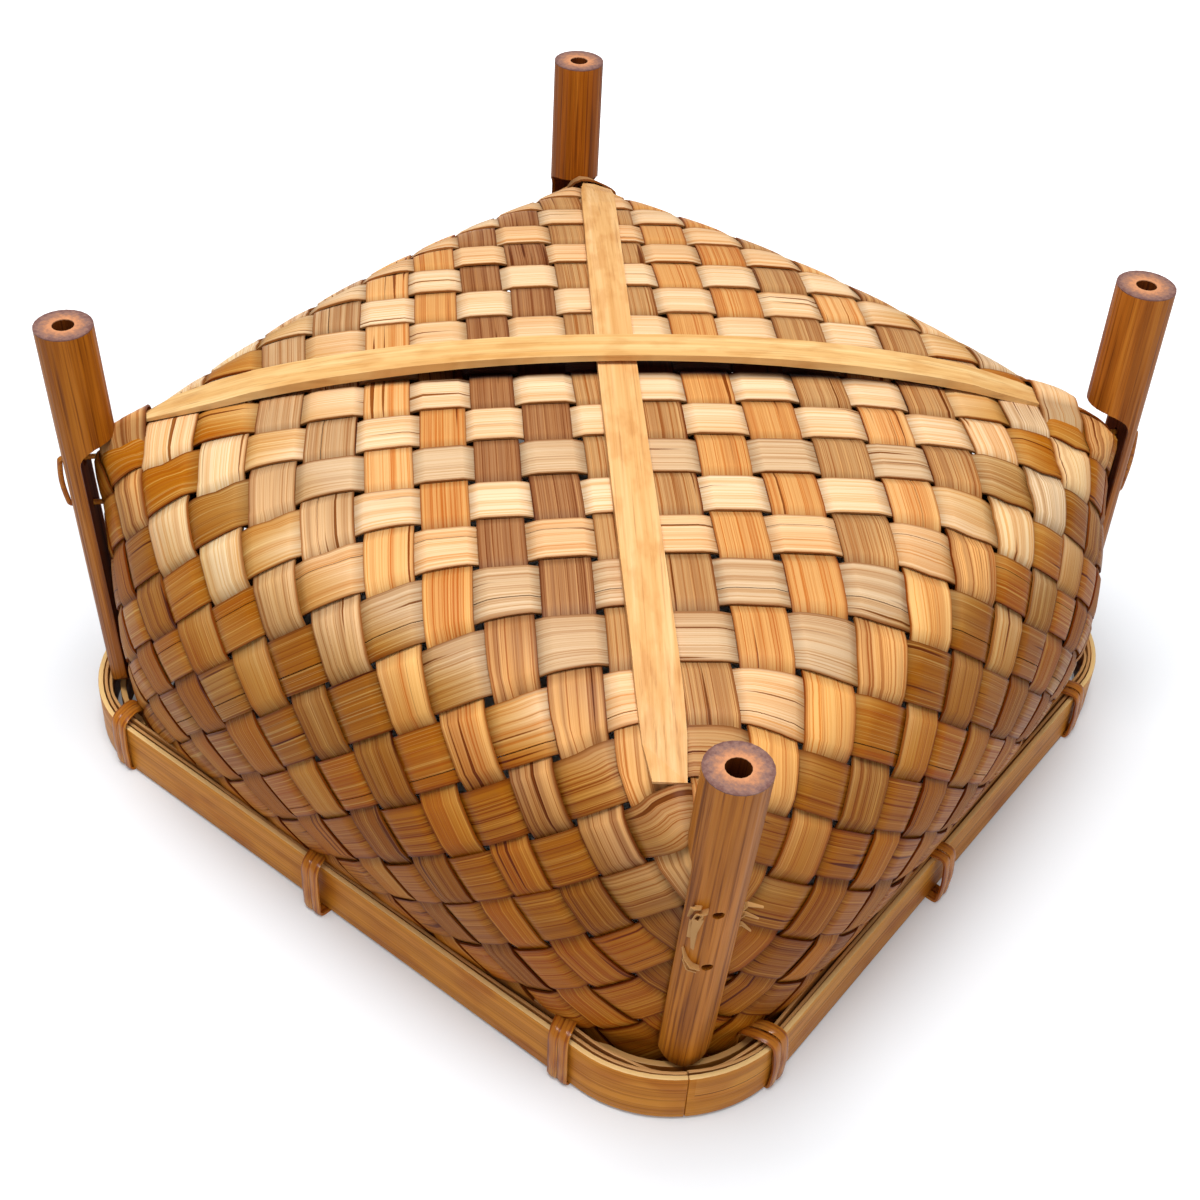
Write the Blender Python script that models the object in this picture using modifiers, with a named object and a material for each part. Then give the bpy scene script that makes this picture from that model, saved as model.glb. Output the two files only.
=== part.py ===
"""Square bamboo basket on four culm legs, shown upside down: it stands on its rim, legs up.

Metres, +Z up. X and Y run along the rim's sides and the origin is on the floor under the middle of
the basket. The front corner is at (+X, -Y), the right one at (+X, +Y), the back one at (-X, +Y) and
the left one at (-X, -Y).
"""
import math

import bmesh
import bpy
import numpy as np
from mathutils import Matrix, Vector

CLEARANCE = 0.0003          # between pieces that touch on the real basket

# Rim: an outer hoop, two thin splints, the mat and an inner hoop, all standing on edge.
RIM_HALF = 0.1836           # middle of the basket to the hoop's outer face, where a corner begins
RIM_BOW = 0.0069            # how much further out the middle of each side bows
BOW_FULL = 0.85             # share of RIM_HALF from which a point moves by the whole bow
HOOP_CORNER = 0.050         # plan radius of the outer hoop's corners
HOOP_THICK = 0.0030
HOOP_HEIGHT = 0.0240
HOOP_SEAM = 0.0003          # between the butted ends of a hoop or splint
SPLINT_THICK = 0.0017
SPLINT_HEIGHT = 0.0200
SPLINT_CORNER = 0.052       # a little rounder than the hoop, so a gap opens at the corners
INNER_HOOP_THICK = 0.0030
INNER_HOOP_HEIGHT = 0.0190
CORNER_STEPS = 8            # straight runs round one corner of a hoop
SIDE_STEPS = 8              # and along one side

# Woven mat: a square base folded down at its four edges.
MAT_THICK = 0.0024
MAT_EDGE = 0.0030           # the mat's lower edge above the hoop's
CLAMP_ABOVE = 0.0045        # above the splints' top edge, where the wall turns upright into the rim
BASE_HALF = 0.1574          # middle of the base to its fold, measured along the mat
FOLD_HEIGHT = 0.1585        # height of the base's corners before the folds take their drop
BASE_RISE = 0.0287          # how much higher the middle of the base is
BASE_CURVE = 2.5            # power of the dome's fall from the middle to a corner
FOLD_MIDDLE = 0.0244        # half the length of the rounded fold at the middle of a side
FOLD_CORNER = 0.0080        # and at a corner
SIDE_POWER = 4              # how flat fold and bulge run along a side before they fade at its corners
LEAN_POWER = 6              # the same for the walls' lean
CORNER_POWER = 8            # and how sharply a corner stands out
WALL_LEAN = math.radians(22.0)
WALL_BULGE = 0.0205         # how far the middle of a wall stands out, half way down
BASE_TWIST = math.radians(-1.2)   # turn of the base against the rim
BASE_DRAWN_OUT = 0.0051     # how far the base is drawn out at its front and back corners
BASE_DRAWN_IN = 0.0070      # and in at its left and right ones
BASE_SHIFT = (0.0021, -0.0062)   # middle of the base from the middle of the rim
CORNER_OUT = 0.0049         # how far each corner stands out beyond its round
LATH_ROOM = 0.0146          # from hoop to the middle of the mat at the rim's corners, where laths go in
BASE_CELLS = 14
GRID_CROWDING = 0.5         # how far the grid's lines crowd towards the folds
WALL_RINGS = 7
RING_CROWDING = 1.25        # power by which the wall's rings crowd towards the fold
CLAMP_RINGS = 2

# Lashings: three to a side, two turns each of flat cane.
CANE_WIDTH = 0.0039
CANE_THICK = 0.0013
CANE_PITCH = 0.0044         # from one turn to the next
CANE_FLAT = 0.0005          # worn off underneath, where the basket stands
CANE_BEND = 0.0011          # radius of the cane's path round the rim's edges
LASHING_STATIONS = (-0.135, -0.010, 0.121)     # along each side from its middle, seen as you walk round
SLOT_MARGIN = 0.0005        # round a cane where it passes through the mat

# Legs: culms, cut away below the base to a lath that lies along the corner.
LUMEN_RADIUS = 0.0045
SHOULDER_GAP = 0.0012       # between the culm's shoulder and the base
SHOULDER_DROP = 0.0110      # the shoulder's outer end below its inner one
FOOT_GAP = 0.0009           # between lath and mat at the lath's foot
FOOT_ABOVE = 0.0022         # middle of the foot above the splints, which its outer edge nearly touches
LEG_SIDES = 24
FOOT_TRIM = 0.97            # the lath's width against the culm's
CUT_OVER = 0.005            # how far cutters reach beyond what they cut
LEGS = {       # radius, lath's thickness, top height, gap between lath and fold, lean, tie holes' heights
    "front": dict(radius=0.0117, lath=0.0066, top=0.1990, gap=0.0014, side=0.0002, ties=(0.1295, 0.0955)),
    "right": dict(radius=0.0127, lath=0.0084, top=0.2214, gap=0.0027, side=0.0014, ties=(0.1450, 0.1120)),
    "back": dict(radius=0.0126, lath=0.0070, top=0.2222, gap=0.0025, side=-0.0010, ties=(0.1440, 0.1120)),
    "left": dict(radius=0.0119, lath=0.0090, top=0.2124, gap=0.0033, side=0.0002, ties=(0.1470, 0.1230)),
}

# Leg ties: a cane loop through two holes in the lath and the mat behind them.
TIE_RADIUS = 0.0012
TIE_HOLE_RADIUS = 0.0022
TIE_BOW = 0.0010            # how far the middle of the loop's outside run stands off the lath
WORN_TIES = ("front",)      # where that outside run is worn away
TIE_RECESS = 0.0015         # and the tie's ends lie this far below the lath's outer face
TIE_DEPTH = 0.0046          # how far it runs behind the middle of the mat
TIE_BEND = 0.0030

# Slats: two flat strips crossed on the base.
SLAT_WIDTH = 0.0166
SLAT_THICK = 0.0040
SLAT_TIP = 0.72             # its width at the very end, against the rest
SLAT_TAPER = 0.025          # length over which it narrows there
SLAT_LEG_GAPS = {"front": 0.0040, "back": 0.0040, "left": 0.0078, "right": 0.0110}   # ends to culms
SLAT_SIDES = {              # middle line beside the diagonal: at its first end, its middle, its last end
    "slat_front_back": (0.0099, -0.0075, -0.0150),
    "slat_left_right": (0.0050, 0.0003, -0.0080),
}
SLAT_HUMP = 0.185           # half the length over which the left-right slat arches above the other
HUMP_POWER = 1.5
SLAT_STRAIGHT = 0.028       # from the base's corner, where a slat no longer follows the mat down
SLAT_STEPS = 24

DIAGONALS = {"front": (1, -1), "right": (1, 1), "back": (-1, 1), "left": (-1, -1)}
ROOT2 = math.sqrt(2.0)

# Heights that follow from the sizes above. The cane's flat underside is on the floor.
HOOP_BOTTOM = CANE_THICK - CANE_FLAT + CLEARANCE
HOOP_TOP = HOOP_BOTTOM + HOOP_HEIGHT
SPLINT_TOP = HOOP_BOTTOM + SPLINT_HEIGHT
MAT_BOTTOM = HOOP_BOTTOM + MAT_EDGE
CLAMP_TOP = SPLINT_TOP + CLAMP_ABOVE
FOOT_HEIGHT = SPLINT_TOP + FOOT_ABOVE

# Depths into the rim, from the hoop's outer face.
OUTER_SPLINT_IN = HOOP_THICK + CLEARANCE
INNER_SPLINT_IN = OUTER_SPLINT_IN + SPLINT_THICK + CLEARANCE
MAT_IN = INNER_SPLINT_IN + SPLINT_THICK + CLEARANCE + MAT_THICK / 2
INNER_HOOP_IN = MAT_IN + MAT_THICK / 2 + CLEARANCE
RIM_DEPTH = INNER_HOOP_IN + INNER_HOOP_THICK


def bowed(x, y):
    """A plan point of a straight-sided rim, moved out by the bow of its side."""
    full = BOW_FULL * RIM_HALF
    def push(a, b):
        near = min(abs(a) / full, 1.0) ** 3
        return math.copysign(RIM_BOW * (1 - (b / RIM_HALF) ** 2) * near, a)
    return x + push(x, y), y + push(y, x)


def rim_outline(inset, corner, seam_corner):
    """Plan points once round the rim, counter-clockwise from the middle of one corner."""
    half = RIM_HALF - inset
    straight = half - corner
    first = {"front": -45, "right": 45, "back": 135, "left": 225}[seam_corner]
    points = []
    for turn in range(4):
        middle = math.radians(first + 90 * turn)
        cx, cy = (straight * math.copysign(1, f(middle)) for f in (math.cos, math.sin))
        angles = [middle + math.radians(90) * i / CORNER_STEPS for i in range(CORNER_STEPS // 2 + 1)]
        points += [(cx + corner * math.cos(a), cy + corner * math.sin(a)) for a in angles]
        after = middle + math.radians(90)
        nx, ny = (straight * math.copysign(1, f(after)) for f in (math.cos, math.sin))
        angles = [after - math.radians(45) + math.radians(90) * i / CORNER_STEPS
                  for i in range(CORNER_STEPS // 2)]
        arc = [(nx + corner * math.cos(a), ny + corner * math.sin(a)) for a in angles]
        (x0, y0), (x1, y1) = points[-1], arc[0]
        points += [(x0 + (x1 - x0) * i / SIDE_STEPS, y0 + (y1 - y0) * i / SIDE_STEPS)
                   for i in range(1, SIDE_STEPS)]
        points += arc
    points.append(points[0])
    return [bowed(x, y) for x, y in points]


def corner_reach_of(inset, corner):
    """Middle of the basket to the middle of a rounded corner of the rim, in plan."""
    across = RIM_HALF - inset - corner * (1 - 1 / ROOT2)
    return math.hypot(*bowed(across, across))


MAT_RIM_REACH = corner_reach_of(HOOP_THICK, HOOP_CORNER - HOOP_THICK) - LATH_ROOM


def mat_corner_radius():
    """The plan radius that brings the mat's corner to its reach inside the rim."""
    low, high = 0.0, RIM_HALF - MAT_IN
    for _ in range(50):
        mid = (low + high) / 2
        low, high = (mid, high) if corner_reach_of(MAT_IN, mid) > MAT_RIM_REACH else (low, mid)
    return low


MAT_CORNER = mat_corner_radius()


def fold_shape(share):
    """Half length and turn of the fold, at a share of the way from a side's middle to its corner."""
    return (FOLD_CORNER + (FOLD_MIDDLE - FOLD_CORNER) * (1 - share ** SIDE_POWER),
            math.pi / 2 - WALL_LEAN * (1 - share ** LEAN_POWER))


def fold(reach, half, turn):
    """Run out and drop of a line of the mat after `reach` along it, bent over a base edge."""
    start = BASE_HALF - half
    radius = 2 * half / turn
    angle = min(max((reach - start) / radius, 0.0), turn)
    tail = max(reach - BASE_HALF - half, 0.0)
    return (min(reach, start) + radius * math.sin(angle) + tail * math.cos(turn),
            radius * (1 - math.cos(angle)) + tail * math.sin(turn))


def crown(x, y):
    return BASE_RISE * (1 - (math.hypot(x, y) / (BASE_HALF * ROOT2)) ** BASE_CURVE)


def cornered(run, across, near_edge):
    """Push a point out a little where it is near a corner."""
    near = (min(run, across) / max(run, across, 1e-9)) ** CORNER_POWER * near_edge ** SIDE_POWER
    share = 1 + CORNER_OUT / (BASE_HALF * ROOT2) * near
    return run * share, across * share


def stretched(x, y, amount):
    """Draw a plan point out along the front-back diagonal, in along the other, turn and shift it."""
    p, q = (x - y) / ROOT2, (x + y) / ROOT2
    p *= 1 + BASE_DRAWN_OUT / (BASE_HALF * ROOT2) * amount
    q *= 1 - BASE_DRAWN_IN / (BASE_HALF * ROOT2) * amount
    x, y = (p + q) / ROOT2, (q - p) / ROOT2
    c, s = math.cos(BASE_TWIST * amount), math.sin(BASE_TWIST * amount)
    return c * x - s * y + BASE_SHIFT[0] * amount, s * x + c * y + BASE_SHIFT[1] * amount


def base_point(x, y):
    """Where a point of the flat base lies on the basket."""
    sx, sy = abs(x) / BASE_HALF, abs(y) / BASE_HALF
    run_x, drop_x = fold(abs(x), *fold_shape(sy))
    run_y, drop_y = fold(abs(y), *fold_shape(sx))
    run_x, run_y = cornered(run_x, run_y, max(sx, sy))
    px, py = stretched(math.copysign(run_x, x), math.copysign(run_y, y), 1.0)
    return Vector((px, py, FOLD_HEIGHT + crown(x, y) - drop_x - drop_y))


def wall_line(along, depth):
    """Run, across and drop of the wall `depth` below the fold, before it is fitted to the rim."""
    corner_run = fold(BASE_HALF + depth, *fold_shape(1.0))[0]
    corner_start = fold(BASE_HALF, *fold_shape(1.0))[0]
    run, drop = fold(BASE_HALF + depth, *fold_shape(along / BASE_HALF))
    across, drop_across = fold(along, *fold_shape(1.0))
    run, across = cornered(run, across * corner_run / corner_start, 1.0)
    return run, across, drop + drop_across


def wall_length(along):
    """Length of the wall from the fold down to where the rim clamps it."""
    half, turn = fold_shape(along / BASE_HALF)
    radius = 2 * half / turn
    top = FOLD_HEIGHT + crown(BASE_HALF, along) - fold(along, *fold_shape(1.0))[1]
    return half + (top - radius * (1 - math.cos(turn)) - CLAMP_TOP) / math.sin(turn)


def rim_side_point(share, inside=0.0):
    """Plan point of the mat in the rim's +X side: share 0 is mid side and 1 is the corner.
    `inside` is how far in from the middle of the mat's thickness it lies."""
    half, corner = RIM_HALF - MAT_IN - inside, MAT_CORNER - inside
    straight = half - corner
    y = share * (half - corner * (1 - 1 / ROOT2))
    beyond = max(y - straight, 0.0)
    return bowed(straight + math.sqrt(corner ** 2 - beyond ** 2), y)


def crowded(share):
    """A grid line's place from 0 to 1, moved towards the fold at 1."""
    return (1 - GRID_CROWDING) * share + GRID_CROWDING * math.sin(math.pi / 2 * share)


def mat_outline(inside):
    """Plan points once round the inside of the mat in the rim, from the back corner."""
    steps = BASE_CELLS // 2
    shares = [math.copysign(crowded(abs(i) / steps), i) for i in range(-steps, steps)]
    points = []
    for turn in (2, 3, 0, 1):
        c, s = round(math.cos(turn * math.pi / 2)), round(math.sin(turn * math.pi / 2))
        for share in shares:
            x, y = rim_side_point(abs(share), inside)
            y = math.copysign(y, share)
            points.append((c * x - s * y, s * x + c * y))
    return points + points[:1]


def wall_point(x, y, share):
    """A point of the wall under the base's edge point (x, y). Share 1 is where the rim clamps it,
    and from there to 2 it runs straight down to the mat's lower edge."""
    side_x = abs(x) >= abs(y)
    along = min(abs(x), abs(y))
    length = wall_length(along)
    down = min(share, 1.0)
    run, across, drop = wall_line(along, length * down)
    end_run, end_across, _ = wall_line(along, length)
    rim_run, rim_across = rim_side_point(along / BASE_HALF)
    bulge = WALL_BULGE * math.sin(math.pi * down) * (1 - (along / BASE_HALF) ** SIDE_POWER)
    run += (rim_run - end_run) * down + bulge
    across += (rim_across - end_across) * down
    z = FOLD_HEIGHT + crown(BASE_HALF, along) - drop
    z -= max(share - 1.0, 0.0) * (CLAMP_TOP - MAT_BOTTOM)
    a, b = (run, across) if side_x else (across, run)
    px, py = stretched(math.copysign(a, x), math.copysign(b, y), 1.0 - down)
    return Vector((px, py, z))


def corner_point(corner, z):
    """The mat's corner line at height z."""
    sx, sy = DIAGONALS[corner]
    half, turn = fold_shape(1.0)
    top = FOLD_HEIGHT - fold(BASE_HALF, half, turn)[1]
    depth = half + top - 2 * half / turn * (1 - math.cos(turn)) - z
    return wall_point(sx * BASE_HALF, sy * BASE_HALF, max(depth, 0.0) / wall_length(BASE_HALF))


def ridge_height(corner, reach):
    """Height of the base on the diagonal towards a corner, at a distance from the middle."""
    sx, sy = DIAGONALS[corner]
    line = [base_point(sx * a, sy * a) for a in np.linspace(0.0, BASE_HALF, 80)]
    return float(np.interp(reach, [math.hypot(v.x, v.y) for v in line], [v.z for v in line]))


def slat_height(corner, reach):
    """The ridge's height under a slat, which runs straight on where the corner's folds drop away."""
    sx, sy = DIAGONALS[corner]
    last = base_point(sx * BASE_HALF, sy * BASE_HALF).xy.length - SLAT_STRAIGHT
    slope = (ridge_height(corner, last) - ridge_height(corner, last - SLAT_STRAIGHT)) / SLAT_STRAIGHT
    return ridge_height(corner, min(reach, last)) + slope * max(reach - last, 0.0)


def material(name, color, roughness):
    mat = bpy.data.materials.new(name)
    mat.use_nodes = True
    shader = mat.node_tree.nodes["Principled BSDF"]
    shader.inputs["Base Color"].default_value = (*color, 1.0)
    shader.inputs["Roughness"].default_value = roughness
    shader.inputs["Metallic"].default_value = 0.0
    return mat


def new_object(name, mesh, collection, mat=None):
    obj = bpy.data.objects.new(name, mesh)
    collection.objects.link(obj)
    if mat:
        mesh.materials.clear()
        mesh.materials.append(mat)
    return obj


def curve_to_mesh(curve_obj, name):
    """Turn a curve object into a closed mesh datablock in world space and remove the curve."""
    bpy.context.view_layer.update()
    depsgraph = bpy.context.evaluated_depsgraph_get()
    mesh = bpy.data.meshes.new_from_object(curve_obj.evaluated_get(depsgraph))
    mesh.name = name
    mesh.transform(curve_obj.matrix_world)
    bm = bmesh.new()
    bm.from_mesh(mesh)
    bmesh.ops.remove_doubles(bm, verts=bm.verts, dist=1e-6)
    bmesh.ops.recalc_face_normals(bm, faces=bm.faces)
    bm.to_mesh(mesh)
    bm.free()
    bpy.data.objects.remove(curve_obj)
    return mesh


def flat_grid(name, columns, rows, size):
    """A flat square grid mesh in the XY plane."""
    bpy.ops.mesh.primitive_grid_add(x_subdivisions=columns, y_subdivisions=rows, size=size)
    grid = bpy.context.active_object
    mesh = grid.data
    mesh.name = name
    bpy.data.objects.remove(grid)
    return mesh


def solidify(obj, thickness, offset):
    modifier = obj.modifiers.new("thickness", "SOLIDIFY")
    modifier.thickness = thickness
    modifier.offset = offset
    modifier.use_even_offset = True


def poly_curve(name, points, cyclic, dimensions):
    curve = bpy.data.curves.new(name, "CURVE")
    curve.dimensions = dimensions
    spline = curve.splines.new("POLY")
    spline.points.add(len(points) - 1)
    for point, co in zip(spline.points, points):
        point.co = (*co, 0.0, 1.0) if len(co) == 2 else (*co, 1.0)
    spline.use_cyclic_u = cyclic
    return curve


def extruded_outline(name, outline, thickness, matrix):
    """A flat outline thickened both ways from its plane, as a mesh in world space."""
    curve = poly_curve(name, outline, True, "2D")
    curve.fill_mode = "BOTH"
    curve.extrude = thickness / 2
    obj = bpy.data.objects.new(name, curve)
    bpy.context.scene.collection.objects.link(obj)
    obj.matrix_world = matrix
    return curve_to_mesh(obj, name)


def smooth(mesh, degrees):
    mesh.shade_smooth()
    mesh.set_sharp_from_angle(angle=math.radians(degrees))


def hoop(name, outer, inner, bottom, height, parts, mat):
    """A strip on edge between two plan lines, its ends butted in the middle of one corner."""
    dx, dy = outer[1][0] - outer[0][0], outer[1][1] - outer[0][1]
    length = math.hypot(dx, dy)
    dx, dy = HOOP_SEAM / 2 * dx / length, HOOP_SEAM / 2 * dy / length
    for line in (outer, inner):
        line[0] = (line[0][0] + dx, line[0][1] + dy)
        line[-1] = (line[-1][0] - dx, line[-1][1] - dy)
    mesh = extruded_outline(name, outer + inner[::-1], height,
                            Matrix.Translation((0, 0, bottom + height / 2)))
    smooth(mesh, 40)
    return new_object(name, mesh, parts, mat)


def rim_station(turn, along):
    """Place of a lashing: its point on the hoop's outer face and the outward direction."""
    x0, y0 = bowed(RIM_HALF, along - 0.001)
    x1, y1 = bowed(RIM_HALF, along + 0.001)
    heading = math.atan2(y1 - y0, x1 - x0) - math.pi / 2
    x, y = bowed(RIM_HALF, along)
    spin = Matrix.Rotation(turn * math.pi / 2, 4, "Z")
    return spin @ Matrix.Translation((x, y, 0)) @ Matrix.Rotation(heading, 4, "Z")


def rim_depth(along):
    """From the hoop's outer face in to the inner hoop's inner face, behind a lashing."""
    inverse = rim_station(0, along).inverted()
    line = [inverse @ Vector((x, y, 0)) for x, y in mat_outline(RIM_DEPTH - MAT_IN) if x > 0]
    line = sorted((v.y, v.x) for v in line if v.x > -RIM_HALF / 3)
    reach = CANE_PITCH + CANE_WIDTH
    ys, xs = zip(*line)
    return -min(np.interp(np.linspace(-reach, reach, 9), ys, xs))


def cane_section(along):
    """The four sides of the cane's path round the rim."""
    off = CLEARANCE + CANE_THICK / 2
    return dict(out=off, inn=-rim_depth(along) - off, low=HOOP_BOTTOM - off, high=HOOP_TOP + off)


def cane_loop(along):
    """Points once round the rim's section, (out, up), from low on its inner side."""
    s = cane_section(along)
    r = CANE_BEND
    corners = ((s["inn"], s["high"], 180), (s["out"], s["high"], 90),
               (s["out"], s["low"], 0), (s["inn"], s["low"], 270))
    loop = []
    start = Vector((s["inn"], s["low"] + 0.25 * (s["high"] - s["low"])))
    before = start
    for x, z, angle in corners:
        centre = Vector((x - math.copysign(r, x + RIM_DEPTH / 2),
                         z - math.copysign(r, z - HOOP_TOP / 2)))
        arc = [centre + r * Vector((math.cos(a), math.sin(a)))
               for a in (math.radians(angle - 45 * i) for i in range(3))]
        steps = 4 if abs(arc[0].y - before.y) > 0.3 * HOOP_HEIGHT else 3
        loop += [before.lerp(arc[0], i / steps) for i in range(steps)]
        loop += arc[:2]
        before = arc[2]
    loop += [before.lerp(start, i / 2) for i in range(2)]
    return loop


def slot_middle(along):
    """How far along the rim from its station a lashing's two turns pass through the mat."""
    loop = cane_loop(along)
    over = [(point.x, i) for i, point in enumerate(loop) if point.y > HOOP_TOP]
    step = np.interp(-MAT_IN, *zip(*over))
    return CANE_PITCH * (float(step) / len(loop) - 0.5)


def lashing_mesh(along):
    """Two turns of flat cane as one unbroken strip, with its ends straight on the inner side."""
    loop = cane_loop(along)
    count = 2 * len(loop)
    path = []
    for i in range(count + 1):
        point = loop[i % len(loop)]
        path.append(Vector((point.x, CANE_PITCH * (i / len(loop) - 1.0), point.y)))
    path[0] -= Vector((0, 0, CANE_THICK))
    path[-1] += Vector((0, 0, CANE_THICK))
    turns = [(a - b).length for a, b in zip(path[:-len(loop)], path[len(loop):])]
    print(f"lashing: least gap between turns {1000 * (min(turns) - CANE_WIDTH):.2f} mm,"
          f" {len(loop)} points a loop")
    mesh = flat_grid("lashing", count, 1, 1.0)
    for vert in mesh.vertices:
        step = round((vert.co.x + 0.5) * count)
        vert.co = path[step] + Vector((0, CANE_WIDTH * vert.co.y, 0))
    strip = new_object("cane", mesh, bpy.context.scene.collection)
    solidify(strip, CANE_THICK, 0.0)
    bpy.context.view_layer.update()
    evaluated = strip.evaluated_get(bpy.context.evaluated_depsgraph_get())
    solid = bpy.data.meshes.new_from_object(evaluated)
    bpy.data.objects.remove(strip)
    return solid


def worn_flat(mesh):
    """Cut the mesh off level with the floor."""
    bm = bmesh.new()
    bm.from_mesh(mesh)
    cut = bmesh.ops.bisect_plane(bm, geom=bm.verts[:] + bm.edges[:] + bm.faces[:], dist=1e-7,
                                 plane_co=(0, 0, 0), plane_no=(0, 0, -1), clear_outer=True)
    rim = [e for e in cut["geom_cut"] if isinstance(e, bmesh.types.BMEdge)]
    bmesh.ops.holes_fill(bm, edges=rim)
    bmesh.ops.recalc_face_normals(bm, faces=bm.faces)
    bm.to_mesh(mesh)
    bm.free()


def leg_frame(corner):
    """The leg's matrix: origin at the middle of its top end, +Z up the culm, +X outwards."""
    leg = LEGS[corner]
    sx, sy = DIAGONALS[corner]
    out = Vector((sx, sy, 0)) / ROOT2
    side = Vector((-out.y, out.x, 0))
    skin = MAT_THICK / ROOT2
    fold_z = FOLD_HEIGHT - 2 * FOLD_CORNER
    foot_reach = corner_point(corner, FOOT_HEIGHT).xy.length + skin + FOOT_GAP
    fold_reach = corner_point(corner, fold_z).xy.length + skin + leg["gap"]
    climb = Vector((fold_reach - foot_reach, fold_z - FOOT_HEIGHT))
    slope = climb.x / climb.y
    inset = (leg["radius"] - leg["lath"]) * math.hypot(1, slope)
    height = leg["top"] - FOOT_HEIGHT
    foot = out * (foot_reach - inset) + Vector((0, 0, FOOT_HEIGHT))
    top = foot + out * slope * height + side * leg["side"] + Vector((0, 0, height))
    up = (top - foot).normalized()
    face = (out - up * out.dot(up)).normalized()
    across = up.cross(face)
    matrix = Matrix((face, across, up)).transposed().to_4x4()
    matrix.translation = top
    return matrix, (top - foot).length


def at_height(matrix, z, x=0.0):
    """Local height of the point of the leg's frame that is x out from its axis and z above floor."""
    start = matrix @ Vector((x, 0, 0))
    return (z - start.z) / (matrix.to_3x3() @ Vector((0, 0, 1))).z


def cylinder(name, radius, length, sides, matrix):
    """A cylinder mesh from the origin down its own axis, moved by a matrix."""
    bpy.ops.mesh.primitive_cylinder_add(vertices=sides, radius=radius, depth=length)
    obj = bpy.context.active_object
    mesh = obj.data
    mesh.name = name
    mesh.transform(matrix @ Matrix.Translation((0, 0, -length / 2)))
    bpy.data.objects.remove(obj)
    return mesh


def cut_with(obj, tool_mesh, operation, cutters):
    """Add a Boolean modifier that uses its own hidden cutter object."""
    tool = new_object(f"{obj.name}_{tool_mesh.name}", tool_mesh, cutters)
    tool.parent = obj
    tool.hide_render = True
    tool.display_type = "WIRE"
    modifier = obj.modifiers.new(tool_mesh.name, "BOOLEAN")
    modifier.operation = operation
    modifier.solver = "EXACT"
    modifier.object = tool


def lath_outline(radius, length):
    """The leg seen from outside: straight edges and a round tip, (across, up)."""
    wide = radius + CUT_OVER
    tip = [(radius * math.cos(a), -length + radius * (1 + math.sin(a)))
           for a in (math.radians(180 + 180 * i / 12) for i in range(13))]
    top, low = 2 * CUT_OVER, -length + radius
    return [(-wide, top), (-wide, low)] + tip + [(wide, low), (wide, top)]


def build_leg(corner, parts, cutters, mat):
    """One culm: bored at its end, cut back to a lath below its shoulder, with a rounded foot."""
    leg = LEGS[corner]
    radius = leg["radius"]
    matrix, length = leg_frame(corner)
    mesh = cylinder(f"leg_{corner}", radius, length + CUT_OVER, LEG_SIDES,
                    Matrix.Translation((0, 0, CUT_OVER)))
    level = matrix.to_3x3().transposed() @ Vector((0, 0, 1))
    bm = bmesh.new()
    bm.from_mesh(mesh)
    cut = bmesh.ops.bisect_plane(bm, geom=bm.verts[:] + bm.edges[:] + bm.faces[:], dist=1e-7,
                                 plane_co=(0, 0, 0), plane_no=level, clear_outer=True)
    bmesh.ops.holes_fill(bm, edges=[e for e in cut["geom_cut"] if isinstance(e, bmesh.types.BMEdge)])
    bmesh.ops.recalc_face_normals(bm, faces=bm.faces)
    bm.to_mesh(mesh)
    bm.free()
    smooth(mesh, 35)
    obj = new_object(f"leg_{corner}", mesh, parts, mat)
    obj.matrix_world = matrix

    face = radius - leg["lath"]
    inner_reach = (matrix @ Vector((-radius, 0, at_height(matrix, FOLD_HEIGHT)))).xy.length
    inner_z = ridge_height(corner, inner_reach) + MAT_THICK / 2 + SHOULDER_GAP
    shoulder = at_height(matrix, inner_z, -radius)
    low = at_height(matrix, inner_z - SHOULDER_DROP, face)
    wide = -radius - CUT_OVER
    curve = [(wide, shoulder), (-radius, shoulder)]
    curve += [(-radius + (face + radius) * math.sin(a), low + (shoulder - low) * math.cos(a))
              for a in (math.radians(90 * i / 6) for i in range(1, 7))]
    notch = curve + [(face, -length - CUT_OVER), (wide, -length - CUT_OVER)]
    upright = Matrix.Rotation(math.radians(90), 4, "X")
    cut_with(obj, extruded_outline("notch", notch, 4 * radius, upright), "DIFFERENCE", cutters)
    lumen = cylinder("lumen", LUMEN_RADIUS, 2 * CUT_OVER - low, 16, Matrix.Translation((0, 0, CUT_OVER)))
    cut_with(obj, lumen, "DIFFERENCE", cutters)
    facing = Matrix(((0, 0, 1, 0), (1, 0, 0, 0), (0, 1, 0, 0), (0, 0, 0, 1)))
    tip = extruded_outline("tip", lath_outline(FOOT_TRIM * radius, length), 4 * radius, facing)
    cut_with(obj, tip, "INTERSECT", cutters)
    for number, z in enumerate(leg["ties"]):
        hole = cylinder(f"tie_hole_{number}", TIE_HOLE_RADIUS, 4 * radius, 10,
                        Matrix.Translation((2 * radius, 0, at_height(matrix, z, radius)))
                        @ Matrix.Rotation(math.radians(90), 4, "Y"))
        cut_with(obj, hole, "DIFFERENCE", cutters)
    return obj


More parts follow.
